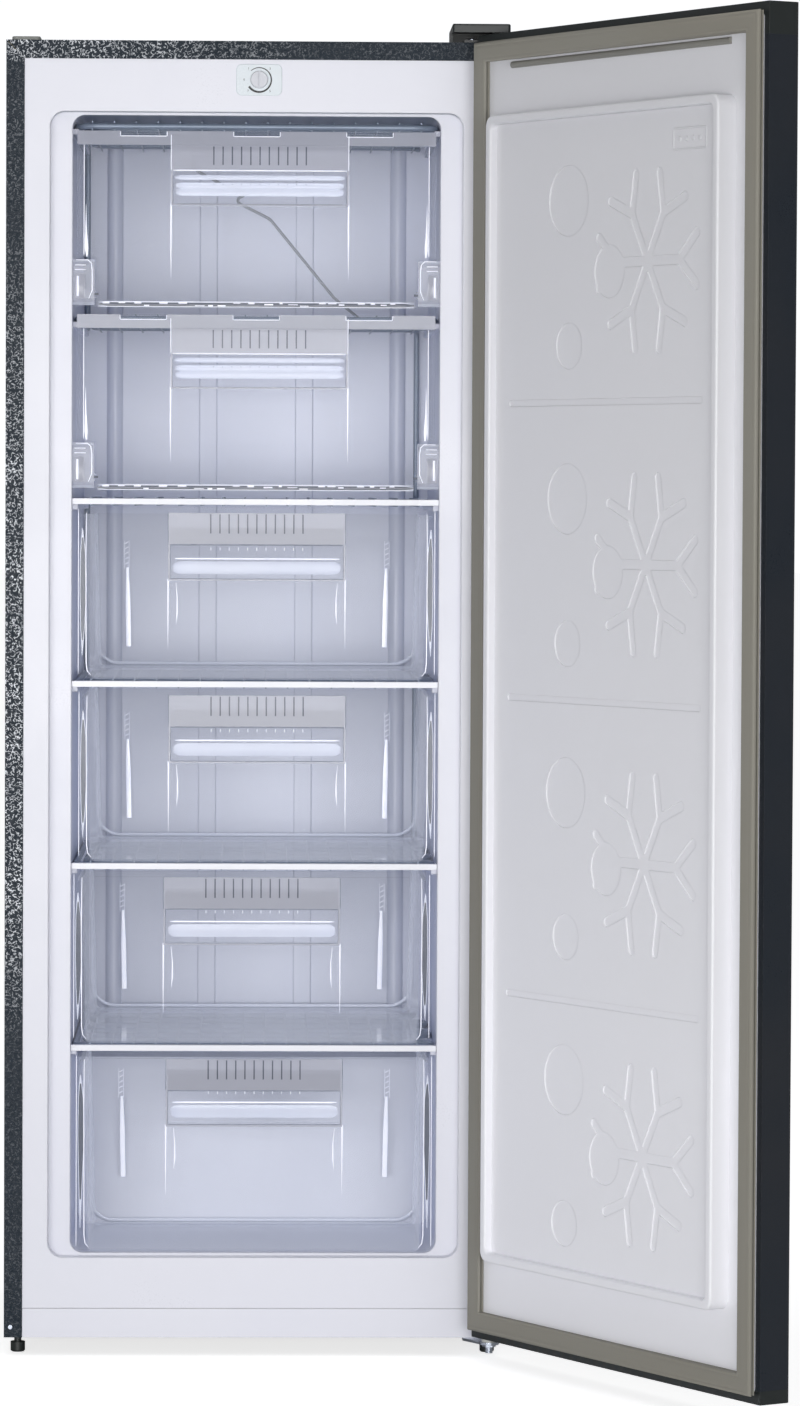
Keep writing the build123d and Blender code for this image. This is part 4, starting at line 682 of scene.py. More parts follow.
class Finishes:
    """Every finish of the freezer."""

    # Painted highlight worms in a pale colour on the front flanges.
    shell = HammeredPaint(
        "hammered_shell", (0.017, 0.025, 0.035), (0.023, 0.031, 0.042),
        roughness=0.30, pit_scale=300.0, pit_depth=0.3, gloss=0.12, round_edges=0.5, dust=0.06,
    )
    # Painted highlight worms in a colour close to the paint's own.
    door_paint = HammeredPaint(
        "door_paint", (0.016, 0.021, 0.029), (0.021, 0.024, 0.030),
        roughness=0.32, pit_scale=700.0, pit_depth=0.06, gloss=0.3, round_edges=0.4,
        painted_glint=(0.020, 0.025, 0.032),
    )
    back_sheet = Metal(
        "back_sheet", (0.36, 0.37, 0.38), (0.30, 0.31, 0.33), roughness=0.42,
        across=60.0, along=50.0, metallic=0.75, round_edges=0.0, dust=0.1,
    )
    dark_sheet = Plastic(
        "dark_sheet", (0.035, 0.036, 0.040), (0.05, 0.05, 0.052), roughness=0.45, dust=0.35,
    )
    # Painted shade: bluer deeper inside the cabinet, and dark on the ceiling.
    liner = ShadedLiner(
        "liner_white", (0.80, 0.803, 0.87), (0.785, 0.79, 0.86), roughness=0.32,
        grain_scale=500.0, grain_depth=0.012, round_edges=2.0, gloss=0.45, ceiling=1.34,
    )
    kick = Plastic(
        "kick_white", (0.80, 0.805, 0.87), (0.78, 0.785, 0.86), roughness=0.34,
        grain_scale=500.0, grain_depth=0.012, round_edges=0.6,
    )
    # Painted shade: darker towards the top of the door.
    door_liner = ShadedLiner(
        "door_liner_white", (0.93, 0.93, 0.97), (0.92, 0.92, 0.96), roughness=0.36,
        cloud_scale=3.0, grain_depth=0.012, round_edges=1.2, gloss=0.45,
        axis=2, near=0.35, far=1.35, far_shade_colour=(0.73, 0.73, 0.76),
    )
    white_trim = Plastic(
        "white_trim", (0.86, 0.865, 0.92), (0.84, 0.85, 0.91), roughness=0.3, round_edges=0.8,
    )
    # Clear drawers and flaps: painted highlight on the edges, painted shade in the grooves, faint
    # painted light of their own.
    clear = ClearPlastic(
        "clear_plastic", (0.86, 0.90, 1.0), (0.84, 0.88, 0.98), roughness=0.07, round_edges=0.6,
        wall_opacity=0.03, grazing_opacity=0.32,
    )
    # Clear hinge blocks: painted highlight on the edges, pale grooves, faint painted light of their
    # own.
    hinge_clear = ClearPlastic(
        "hinge_block_clear", (0.74, 0.78, 0.88), (0.80, 0.84, 0.93), roughness=0.12,
        wall_opacity=0.35, rim_opacity=0.6, grazing_opacity=0.7, pad_opacity=0.45,
        groove_opacity=0.45, groove_colour=(0.80, 0.83, 0.92), round_edges=0.8,
    )
    # Painted milky highlights, drawn as beads that give off a faint painted light.
    milky = ClearPlastic(
        "painted_milky_highlight", (0.84, 0.87, 0.97), (0.80, 0.84, 0.96), roughness=0.1, wall_opacity=0.6,
        rim_opacity=0.6, grazing_opacity=0.7, round_edges=0.0,
    )
    # Painted highlights, drawn as bright beads that give off painted light.
    painted_glint = Plastic(
        "painted_highlight_bead", (0.90, 0.91, 0.98), (0.80, 0.82, 0.93), roughness=0.15,
        grain_scale=300.0, cloud_scale=60.0, painted_glow=0.32, round_edges=0.0,
    )
    # Painted shade lines, drawn as grey beads.
    painted_shade_grey = Plastic(
        "painted_shade_line", (0.25, 0.28, 0.35), (0.34, 0.37, 0.46), roughness=0.3, cloud_scale=60.0,
        round_edges=0.0,
    )
    evaporator = Metal(
        "evaporator_tube", (0.30, 0.35, 0.44), (0.24, 0.29, 0.37), roughness=0.4,
        metallic=0.25, round_edges=0.0,
    )
    gasket = Plastic(
        "gasket_rubber", (0.270, 0.255, 0.215), (0.285, 0.275, 0.24), roughness=0.55,
        grain_scale=1400.0, grain_depth=0.03, round_edges=0.0, gloss=0.3, cloud_scale=2.5,
    )
    magnet = Plastic("magnet", (0.05, 0.045, 0.04), (0.06, 0.05, 0.05), roughness=0.7)
    strip = Plastic(
        "grey_strip", (0.21, 0.205, 0.185), (0.24, 0.235, 0.21), roughness=0.4, round_edges=0.8,
    )
    cap_grey = Plastic(
        "cap_grey", (0.22, 0.23, 0.21), (0.26, 0.265, 0.25), roughness=0.5, round_edges=0.8,
    )
    knob = Plastic(
        "knob_white", (0.66, 0.67, 0.72), (0.62, 0.63, 0.69), roughness=0.25, round_edges=0.5,
    )
    plate = Plastic(
        "dial_plate", (0.735, 0.79, 0.83), (0.725, 0.78, 0.82), roughness=0.3, round_edges=0.4,
    )
    black = Plastic(
        "black_plastic", (0.012, 0.016, 0.016), (0.018, 0.022, 0.022), roughness=0.38,
        grain_scale=1200.0, grain_depth=0.03, round_edges=0.8, dust=0.08,
    )
    black_steel = Plastic(
        "black_enamel", (0.012, 0.012, 0.014), (0.02, 0.02, 0.022), roughness=0.3,
        cloud_scale=14.0, dust=0.45, round_edges=0.0,
    )
    zinc = Metal(
        "zinc_plate", (0.66, 0.70, 0.78), (0.50, 0.55, 0.64), roughness=0.28, round_edges=0.4,
    )
    copper = Metal(
        "copper_pipe", (0.72, 0.36, 0.22), (0.45, 0.20, 0.12), roughness=0.32, round_edges=0.0,
        cloud_scale=24.0,
    )
    rubber = Plastic("mount_rubber", (0.015, 0.015, 0.015), (0.03, 0.03, 0.03), roughness=0.75)
    nylon = Plastic("nylon", (0.66, 0.66, 0.62), (0.6, 0.6, 0.57), roughness=0.35)
    foam = Plastic(
        "insulation_foam", (0.72, 0.60, 0.32), (0.62, 0.50, 0.24), roughness=0.9,
        grain_scale=260.0, grain_depth=0.8, cloud_scale=22.0, round_edges=0.0,
    )
    grey_wire = Plastic(
        "grey_tube", (0.34, 0.36, 0.40), (0.40, 0.42, 0.46), roughness=0.4, round_edges=0.0,
    )
    ink = Plastic(
        "printed_ink", (0.012, 0.013, 0.016), (0.02, 0.02, 0.024), roughness=0.45,
        grain_depth=0.005, round_edges=0.0,
    )


class Workshop:
    """Makes each finish once and puts it on nodes and drawn pieces."""

    def __init__(self) -> None:
        """Starts with no material made."""
        self.made: dict[str, bpy.types.Material] = {}

    def material(self, finish: Finish) -> bpy.types.Material:
        """Makes a finish's material, or returns the one made before.

        Args:
            finish: The finish.

        Returns:
            Its material.
        """
        if finish.name not in self.made:
            self.made[finish.name] = finish.make()
        return self.made[finish.name]

    def dress(self, finish: Finish, *nodes: str) -> None:
        """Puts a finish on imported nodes.

        Args:
            finish: The finish.
            *nodes: The nodes' names.
        """
        for name in nodes:
            piece = frame["nodes"][name]
            for slot in piece.material_slots:
                slot.material = self.material(finish)
            LOG.info("%s: %s", name, finish.name)

    def piece(
        self,
        name: str,
        mesh: bpy.types.Mesh,
        finish: Finish,
        body: Body,
        slot: Slot,
        replaces: Sequence[str] = (),
    ) -> None:
        """Makes a drawn piece of a mesh.

        Args:
            name: The piece's name.
            mesh: Its mesh, in place.
            finish: Its finish.
            body: The body that it rides on.
            slot: The record's slot for it; not used.
            replaces: Nodes that it stands for.
        """
        made = stand(name, mesh)
        mesh.materials.append(self.material(finish))
        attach(made, body.value)
        if replaces:
            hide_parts(*replaces)
        LOG.info("%s: %d faces", name, len(mesh.polygons))


WORKSHOP = Workshop()


def stand(name: str, data: bpy.types.ID) -> bpy.types.Object:
    """Puts a mesh, text, lamp or camera into the scene.

    Args:
        name: The object's name.
        data: What it shows.

    Returns:
        The new object.
    """
    made = bpy.data.objects.new(name, data)
    bpy.context.scene.collection.objects.link(made)
    return made


# ------------------------------------------------------------------ meshes
def mesh_of(
    name: str, points: Sequence[Vector], faces: Sequence[Sequence[int]], smooth: float = 35.0
) -> bpy.types.Mesh:
    """Makes a mesh that is smooth up to an angle.

    Args:
        name: The mesh's name.
        points: Its points.
        faces: Its faces, as lists of point numbers.
        smooth: The sharpest angle that still shades smooth, in degrees.

    Returns:
        The mesh.
    """
    mesh = bpy.data.meshes.new(name)
    mesh.from_pydata([tuple(point) for point in points], [], [list(face) for face in faces])
    mesh.validate()
    mesh.shade_smooth()
    mesh.set_sharp_from_angle(angle=math.radians(smooth))
    return mesh


class Strokes:
    """Thin rounded beads, gathered into one mesh; places are in millimetres, across and down."""

    ENDS = (0.0, 0.03, 0.97, 1.0)

    def __init__(self, middle: float, top: float) -> None:
        """Starts with no bead.

        Args:
            middle: The front's middle, in metres along X.
            top: Its top edge, in metres along Z.
        """
        self.middle = middle
        self.top = top
        self.points: list[Vector] = []
        self.faces: list[tuple[int, ...]] = []

    def bead(
        self,
        path: Sequence[tuple[float, float]],
        radii: Sequence[float],
        y: float,
        flat: float = 1.0,
        sides: int = 6,
    ) -> None:
        """Adds a bead that follows a path in a plane that faces the front.

        Args:
            path: Its points: across from the middle, and down from the top edge.
            radii: Its radius at each point.
            y: Its plane, in metres.
            flat: Its depth as a share of its width.
            sides: How many faces it has round.
        """
        first = len(self.points)
        last = len(path) - 1
        for index, ((across, down), radius) in enumerate(zip(path, radii)):
            before = path[max(index - 1, 0)]
            after = path[min(index + 1, last)]
            along = Vector((after[0] - before[0], 0.0, before[1] - after[1])).normalized()
            beside = along.cross(Vector((0.0, 1.0, 0.0)))
            spot = Vector((self.middle + across * MILLIMETRE, y, self.top - down * MILLIMETRE))
            for side in range(sides):
                turn = 2 * math.pi * side / sides
                out = beside * math.cos(turn) + Vector((0.0, flat * math.sin(turn), 0.0))
                self.points.append(spot + out * radius * MILLIMETRE)
        for index in range(last):
            for side in range(sides):
                here = first + index * sides + side
                beside_it = first + index * sides + (side + 1) % sides
                self.faces.append((here, beside_it, beside_it + sides, here + sides))
        end = first + last * sides
        self.faces.append(tuple(range(first, first + sides))[::-1])
        self.faces.append(tuple(range(end, end + sides)))

    def line(
        self, x0: float, d0: float, x1: float, d1: float, radius: float, y: float, flat: float = 1.0
    ) -> None:
        """Adds a straight bead with slightly narrower ends.

        Args:
            x0: Its start, across.
            d0: Its start, down.
            x1: Its end, across.
            d1: Its end, down.
            radius: Its radius.
            y: Its plane, in metres.
            flat: Its depth as a share of its width.
        """
        spots = [(x0 + (x1 - x0) * share, d0 + (d1 - d0) * share) for share in self.ENDS]
        self.bead(spots, (radius / 2, radius, radius, radius / 2), y, flat)

    def upright(
        self, across: float, top: float, foot: float, radius: float, y: float, flat: float = 1.0
    ) -> None:
        """Adds an upright bead from one level down to another; sizes as in line."""
        self.line(across, top, across, foot, radius, y, flat)

    def level(
        self, half: float, down: float, radius: float, y: float, flat: float = 1.0, middle: float = 0.0
    ) -> None:
        """Adds a level bead.

        Args:
            half: Half its length.
            down: Its level.
            radius: Its radius.
            y: Its plane, in metres.
            flat: Its depth as a share of its width.
            middle: Where its middle is, across.
        """
        self.line(middle - half, down, middle + half, down, radius, y, flat)

    def curve(
        self, spots: Sequence[Spot], side: int, y: float, flat: float = 1.0, middle: float = 0.0
    ) -> None:
        """Adds a bead through listed spots.

        Args:
            spots: How far out and how far down each is, and the radius there.
            side: -1 at the left, 1 at the right.
            y: Its plane, in metres.
            flat: Its depth as a share of its width.
            middle: What it is mirrored about, across.
        """
        path = [(middle + side * out, down) for out, down, _ in spots]
        self.bead(path, [radius for _, _, radius in spots], y, flat)

    def build(self, name: str, finish: Finish, body: Body) -> None:
        """Makes the piece.

        Args:
            name: The piece's name.
            finish: Its finish.
            body: The body that it rides on.
        """
        mesh = mesh_of(name, self.points, self.faces, smooth=60.0)
        WORKSHOP.piece(name, mesh, finish, body, Slot.CLEAR)


@dataclass(frozen=True)
class ShutDoor:
    """The door's own frame: places as they are when the door is shut."""

    hinge: Vector
    angle: float

    @classmethod
    def of_joint(cls, name: str) -> "ShutDoor":
        """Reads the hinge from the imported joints.

        Args:
            name: The door's joint.

        Returns:
            The frame.
        """
        joint = next(joint for joint in frame["joints"] if joint["name"] == name)
        return cls(Vector(joint["pos_m"]), -math.radians(joint["range_deg"][0]))

    def turn(self) -> Matrix:
        """Returns the matrix from the shut door to the door as it rests."""
        there = Matrix.Translation(self.hinge)
        return there @ Matrix.Rotation(self.angle, 4, "Z") @ there.inverted()

    def box(self, node: str) -> tuple[Vector, Vector]:
        """Measures a door node in the shut frame.

        Args:
            node: The node's name.

        Returns:
            Its lowest and highest corner.
        """
        back = self.turn().inverted()
        spots = [back @ vertex.co for vertex in frame["nodes"][node].data.vertices]
        low = Vector(min(spot[axis] for spot in spots) for axis in range(3))
        high = Vector(max(spot[axis] for spot in spots) for axis in range(3))
        return low, high


# ------------------------------------------------------------------ sub-assemblies
@dataclass
class Shell:
    """The outer cabinet with its back, base and feet."""

    def build(self) -> None:
        """Dresses the shell's nodes."""
        WORKSHOP.dress(Finishes.shell, "outer_shell")
        WORKSHOP.dress(Finishes.back_sheet, "back_panel")
        WORKSHOP.dress(Finishes.dark_sheet, "base_panel", "compressor_shelf")
        WORKSHOP.dress(Finishes.kick, "kick_strip")
        WORKSHOP.dress(Finishes.cap_grey, "hinge_hole_cap")
        WORKSHOP.dress(Finishes.zinc, "shell_screws")
        WORKSHOP.dress(Finishes.black, "rear_feet", "front_foot_left", "front_foot_right")
        WORKSHOP.dress(Finishes.foam, "cabinet_insulation")


@dataclass
class Interior:
    """The liner, the evaporator shelves and their trims."""

    def build(self) -> None:
        """Dresses the nodes inside the mouth."""
        WORKSHOP.dress(Finishes.liner, "inner_liner", "shelf_ledges")
        shelves = [name for name in frame["nodes"] if name.startswith("evaporator_shelf")]
        WORKSHOP.dress(Finishes.evaporator, "evaporator_risers", *sorted(shelves))
        trims = [name for name in frame["nodes"] if name.startswith("shelf_trim")]
        WORKSHOP.dress(Finishes.white_trim, *sorted(trims))
        WORKSHOP.dress(Finishes.grey_wire, "sensor_capillary")


class Edges:
    """The beads of one clear front: bright and milky ones are painted highlights, grey ones painted
    shade lines.
    """

    def __init__(self, node: str) -> None:
        """Starts with no bead.

        Args:
            node: The front's node.
        """
        low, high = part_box(node)
        middle = (low.x + high.x) / 2
        self.height = (high.z - low.z) / MILLIMETRE
        self.back = high.y
        self.bright = Strokes(middle, high.z)
        self.grey = Strokes(middle, high.z)
        self.milky = Strokes(middle, high.z)

    def build(self, name: str, body: Body) -> None:
        """Makes a piece of each kind that has beads.

        Args:
            name: How the pieces' names start.
            body: The body that they ride on.
        """
        # Painted highlights in bright and milky beads, painted shade lines in grey ones.
        for beads, kind, finish in (
            (self.bright, "bright", Finishes.painted_glint),
            (self.grey, "grey", Finishes.painted_shade_grey),
            (self.milky, "milky", Finishes.milky),
        ):
            if beads.points:
                beads.build(f"{name}_{kind}_edges", finish, body)


@dataclass(frozen=True)
class Front:
    """What drawers and flaps share: planes in metres, the rest in millimetres from the top edge."""

    face: float = -0.2357
    pad_face: float = -0.2371
    pocket_face: float = -0.2109
    pad_half: float = 97.0
    pocket_half: float = 95.0
    pocket_bottom: float = 79.0
    groove_count: int = 11
    groove_pitch: float = 10.1
    hair: float = 0.4
    thin: float = 0.5

    def grooves(self, middle: float = 0.0) -> list[float]:
        """Returns where the handle's grooves stand, about a middle."""
        first = middle - self.groove_pitch * (self.groove_count - 1) / 2
        return [first + self.groove_pitch * index for index in range(self.groove_count)]


@dataclass(frozen=True)
class DrawerFront(Front):
    """The painted highlights and painted shade lines of a drawer."""

    pad_top: float = 6.5
    pad_foot: float = 41.0
    pad_line: float = 41.6
    line_radius: float = 0.55
    groove_top: float = 44.5
    groove_foot: float = 48.0
    lip_half: float = 90.5
    lip_middle: float = 0.5
    lip_level: float = 57.0
    shelf_half: float = 92.0
    shelf_level: float = 67.0
    edge_half: float = 195.2
    wall_half: float = 186.5
    lens_out: float = 4.4
    # The band of painted reflection on the back wall, and the short bright lines across its top.
    strip_half: float = 149.5
    strip_width: float = 5.4
    strip_lean: float = 2.6
    strip_top: float = 40.0
    strip_foot: float = 74.0
    strip_spots: tuple[Spot, ...] = ((0.3, 72.0, 0.55), (0.6, 110.0, 1.0), (1.0, 164.0, 1.0))
    rib_highlights: int = 5
    first_rib_highlight: float = 42.0
    rib_highlight_pitch: float = 6.0
    rib_highlight_rise: float = 2.5
    rear_band: float = 0.003
    rear_inset: float = 0.0026
    rear_corner: float = 27.0
    rear_top: float = 80.0
    corner_steps: int = 7
    # Painted highlights down the webs below the pocket.
    rib_highlight: tuple[Spot, ...] = ((97.0, 79.0, 1.0), (97.0, 110.0, 0.9), (97.0, 156.0, 0.15))
    short_rib_highlight: tuple[Spot, ...] = (
        (88.5, 83.0, 0.25), (87.0, 100.0, 0.7), (87.0, 116.0, 1.0), (88.0, 128.0, 0.15),
    )

    def draw(self, number: int) -> None:
        """Draws a drawer's painted highlights and painted shade lines.

        Args:
            number: Which drawer, counted from the top.
        """
        name = f"drawer_{number}"
        edges = Edges(name)
        bright, grey, milky = edges.bright, edges.grey, edges.milky
        for side in (-1, 1):
            pocket = side * self.pocket_half
            # Painted shade lines beside the pad and the pocket, painted highlights down the webs below.
            grey.upright(side * self.pad_half, self.pad_top, self.pad_foot, self.hair, self.pad_face)
            grey.upright(pocket, self.pad_foot, self.pocket_bottom, self.hair, self.face)
            bright.curve(self.rib_highlight, side, self.face)
            bright.curve(self.short_rib_highlight, side, self.face)
            self.draw_side(edges, side)
            self.draw_back_strip(bright, side, edges.back)
        self.draw_rear_outline(edges, name)
        # Painted shade lines under the pad and the pocket, painted highlights on the lip and the groove
        # ends, and a painted milky band in the pocket.
        grey.level(self.pad_half, self.pad_line, self.line_radius, self.face)
        grey.level(self.pocket_half, self.pocket_bottom, self.line_radius, self.face)
        bright.level(self.lip_half, self.lip_level, 0.8, self.pocket_face, 0.3, self.lip_middle)
        milky.level(self.shelf_half, self.shelf_level, 7.0, self.pocket_face, 0.05)
        for across in self.grooves():
            bright.upright(across, self.groove_top, self.groove_foot, self.thin, self.pocket_face)
        edges.build(name, Body(name))

    def draw_side(self, edges: Edges, side: int) -> None:
        """Draws painted highlights along the two edges at a drawer's side, and a painted milky
        highlight between them.

        Args:
            edges: Where the beads go.
            side: -1 at the left, 1 at the right.
        """
        foot = edges.height
        wall = self.wall_half
        lens = wall + self.lens_out
        edges.bright.upright(side * self.edge_half, 3.0, foot - 6.0, 0.45, self.face)
        wall_edge = (
            (wall, 7.0, 0.4), (wall + 0.6, 60.0, 0.65), (wall, foot - 18.0, 0.65),
            (wall - 1.2, foot - 9.0, 0.6), (wall - 5.0, foot - 4.5, 0.3),
        )
        edges.bright.curve(wall_edge, side, self.face)
        painted_milky_highlight = (
            (lens, 24.0, 0.5), (lens - 0.6, 50.0, 3.0), (lens - 1.0, 90.0, 3.9),
            (lens - 0.5, 130.0, 2.6), (lens, foot - 26.0, 0.3),
        )
        edges.milky.curve(painted_milky_highlight, side, self.face, 0.08)

    def draw_back_strip(self, bright: Strokes, side: int, back: float) -> None:
        """Draws a painted reflection on the back wall: a bright upright band, with short bright lines
        across its top.

        Args:
            bright: Where the beads go.
            side: -1 at the left, 1 at the right.
            back: The drawer's far end, in metres along Y.
        """
        plane = back - self.rear_inset
        lean = side * self.strip_lean
        top = side * (self.strip_half + 2.0)
        half = self.strip_width / 2
        path = [(top - lean * share, down) for share, down, _ in self.strip_spots]
        bright.bead(path, [half * share for _, _, share in self.strip_spots], plane, 0.1)
        for rib_highlight in range(self.rib_highlights):
            down = self.first_rib_highlight + self.rib_highlight_pitch * rib_highlight
            left, right = top - half * 0.8, top + half * 0.7
            bright.line(left, down + self.rib_highlight_rise, right, down, self.thin, plane)
        for edge in (top + half, top - half):
            bright.upright(edge, self.strip_top, self.strip_foot, 0.3, plane)

    def draw_rear_outline(self, edges: Edges, name: str) -> None:
        """Draws the rounded outline of a drawer's back wall as a painted milky highlight and a painted
        shade line.

        Args:
            edges: Where the beads go.
            name: The drawer's node.
        """
        spots = [vertex.co for vertex in frame["nodes"][name].data.vertices]
        far = [spot.x for spot in spots if spot.y > edges.back - self.rear_band]
        half = (max(far) - min(far)) / 2 / MILLIMETRE
        turn = self.rear_corner
        angles = [math.pi / 2 * step / self.corner_steps for step in range(self.corner_steps + 1)]
        for beads, radius, inset in ((edges.milky, 1.6, 5.0), (edges.grey, 0.35, 2.8)):
            side = half - inset
            foot = edges.height - inset - 1.0
            path = [(-side, self.rear_top)]
            for angle in angles:
                out, down = turn * math.cos(angle), turn * math.sin(angle)
                path.append((-side + turn - out, foot - turn + down))
            for angle in angles:
                out, down = turn * math.sin(angle), turn * math.cos(angle)
                path.append((side - turn + out, foot - turn + down))
            path.append((side, self.rear_top))
            beads.bead(path, [radius] * len(path), edges.back - self.rear_inset, 0.2)


@dataclass(frozen=True)
class Bar:
    """A level band of painted highlight across a flap's handle."""

    milky: bool
    half: float
    down: float
    radius: float
    flat: float


@dataclass(frozen=True)
class FlapFront(Front):
    """The painted highlights and painted shade lines of a tilting flap, and the painted highlights of
    the blocks beside its foot.
    """

    bar_face: float = -0.2376
    handle: float = 3.5
    clip_pitch: float = 123.5
    clip_width: float = 50.8
    clip_top: float = 0.5
    clip_foot: float = 5.5
    bar_bottom: float = 15.0
    bar_end: float = 194.0
    edge_half: float = 188.5
    edge_foot: float = 136.0
    groove_top: float = 55.5
    groove_foot: float = 57.0
    groove_lift: float = 0.0004
    # The foot bar's painted highlights: a milky band, thin lines and broken glints.
    foot_half: float = 173.0
    glint_start: float = -168.0
    glint_end: float = 160.0
    glint_length: tuple[float, float] = (3.0, 13.0)
    glint_levels: tuple[float, ...] = (1.9, 3.4, 4.6)
    glint_radius: tuple[float, float] = (0.5, 1.1)
    glint_gap: tuple[float, float] = (1.5, 12.0)
    seed: int = 11
    # Painted highlights down the webs below the pocket and near each side.
    rib_highlight: tuple[Spot, ...] = ((97.0, 79.0, 1.2), (97.0, 115.0, 1.1), (97.0, 160.0, 0.15))
    wedge: tuple[Spot, ...] = (
        (186.3, 80.0, 0.15), (186.3, 104.0, 0.8), (185.7, 128.0, 1.9), (185.3, 137.0, 0.8),
    )
    # Painted highlights on the clear blocks beside the foot.
    block: tuple[Spot, ...] = (
        (197.0, 141.0, 0.3), (184.0, 141.0, 0.6), (180.4, 144.5, 0.6),
        (179.4, 152.0, 0.6), (179.4, 174.0, 0.6), (183.0, 183.0, 0.3),
    )
    block_steps: tuple[float, ...] = (146.5, 151.5)
    step_outer: float = 198.5
    step_inner: float = 186.0
    haze_half: float = 192.5
    haze_levels: tuple[float, float] = (156.0, 183.0)
    gleam_half: float = 195.0
    gleam_levels: tuple[float, float] = (158.0, 181.0)
    bars: tuple[Bar, ...] = (
        Bar(True, 93.0, 49.0, 2.6, 0.1),
        Bar(True, 92.0, 58.0, 3.4, 0.12),
        Bar(False, 92.0, 56.0, 0.5, 0.5),
        Bar(True, 92.0, 65.0, 4.2, 0.08),
    )

    def draw(self, number: int) -> None:
        """Draws a flap's painted highlights and painted shade lines.

        Args:
            number: Which flap, counted from the top.
        """
        name = f"flap_{number}"
        edges = Edges(name)
        bright, grey, milky = edges.bright, edges.grey, edges.milky
        # Painted highlights round the clip notches of the top bar.
        for slot in (-1, 0, 1):
            left = slot * self.clip_pitch - self.clip_width / 2
            right = left + self.clip_width
            bright.upright(left, self.clip_top, self.clip_foot, self.thin, self.bar_face)
            bright.upright(right, self.clip_top, self.clip_foot, self.thin, self.bar_face)
            bright.line(left, self.clip_foot, right, self.clip_foot, self.thin, self.bar_face)
        for side in (-1, 1):
            self.draw_side(edges, side)
        # Painted highlights and milky bands across the handle, a painted shade line under the pocket,
        # and painted shade lines at the grooves.
        bright.level(self.pocket_half, 42.6, 0.8, self.pad_face, middle=self.handle)
        for bar in self.bars:
            beads = milky if bar.milky else bright
            beads.level(bar.half, bar.down, bar.radius, self.pocket_face, bar.flat, self.handle)
        grey.level(self.pocket_half, 79.4, 0.6, self.face, middle=self.handle)
        for across in self.grooves(self.handle):
            lifted = self.pocket_face - self.groove_lift
            grey.upright(across, self.groove_top, self.groove_foot, 0.35, lifted)
        self.draw_foot(edges)
        self.draw_blocks(name)
        edges.build(name, Body(name))

    def draw_side(self, edges: Edges, side: int) -> None:
        """Draws the painted highlights and painted shade lines beside a flap's handle and along its
        edge.

        Args:
            edges: Where the beads go.
            side: -1 at the left, 1 at the right.
        """
        bright, grey = edges.bright, edges.grey
        pad = self.handle + side * self.pad_half
        pocket = self.handle + side * self.pocket_half
        bright.upright(pad, 4.0, 42.5, self.thin, self.bar_face)
        bar_end = side * self.bar_end
        grey.line(pad, self.bar_bottom, bar_end, self.bar_bottom, self.hair, self.face)
        grey.upright(pocket, 48.0, self.pocket_bottom, 0.45, self.face)
        bright.upright(pad, 46.0, self.pocket_bottom, self.thin, self.face)
        bright.curve(self.rib_highlight, side, self.face, middle=self.handle)
        edge = side * self.edge_half
        bright.upright(edge, self.bar_bottom, self.edge_foot, 0.55, self.face)
        bright.curve(self.wedge, side, self.face, 0.5)

    def draw_foot(self, edges: Edges) -> None:
        """Draws the painted highlights along a flap's foot bar: a milky band, two thin lines and broken
        glints.

        Args:
            edges: Where the beads go.
        """
        foot = edges.height
        bright = edges.bright
        chance = random.Random(self.seed)
        edges.milky.level(self.foot_half, foot - 3.0, 2.6, self.face, 0.1)
        bright.level(self.foot_half, foot - 6.0, 0.35, self.face)
        bright.level(self.foot_half, foot - 0.6, 0.4, self.face)
        across = self.glint_start
        while across < self.glint_end:
            length = chance.uniform(*self.glint_length)
            down = foot - chance.choice(self.glint_levels)
            radius = chance.uniform(*self.glint_radius)
            bright.line(across, down, across + length, down, radius, self.face, 0.5)
            across += length + chance.uniform(*self.glint_gap)

    def draw_blocks(self, name: str) -> None:
        """Draws the painted highlights on the clear blocks beside a flap's foot.

        Args:
            name: The flap's node.
        """
        edges = Edges(name)
        bright = edges.bright
        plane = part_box("flap_hinge_blocks")[0].y
        for side in (-1, 1):
            bright.curve(self.block, side, plane)
            for down in self.block_steps:
                outer, inner = side * self.step_outer, side * self.step_inner
                bright.line(outer, down, inner, down, self.thin, plane)
            edges.milky.upright(side * self.haze_half, *self.haze_levels, 5.0, plane, 0.08)
            bright.upright(side * self.gleam_half, *self.gleam_levels, 1.6, plane, 0.3)
        edges.build(f"{name}_block", Body.CABINET)


@dataclass
class ClearFronts:
    """The drawers and the tilting flaps, with painted highlights and painted shade lines drawn as beads
    on their clear mouldings.
    """

    drawers: int = 4
    flaps: int = 2

    def build(self) -> None:
        """Dresses the clear mouldings and draws their painted highlights and shade lines."""
        names = [f"drawer_{number}" for number in range(1, self.drawers + 1)]
        names += [f"flap_{number}" for number in range(1, self.flaps + 1)]
        WORKSHOP.dress(Finishes.clear, *names)
        WORKSHOP.dress(Finishes.hinge_clear, "flap_hinge_blocks")
        for number in range(1, self.drawers + 1):
            DrawerFront().draw(number)
        for number in range(1, self.flaps + 1):
            FlapFront().draw(number)


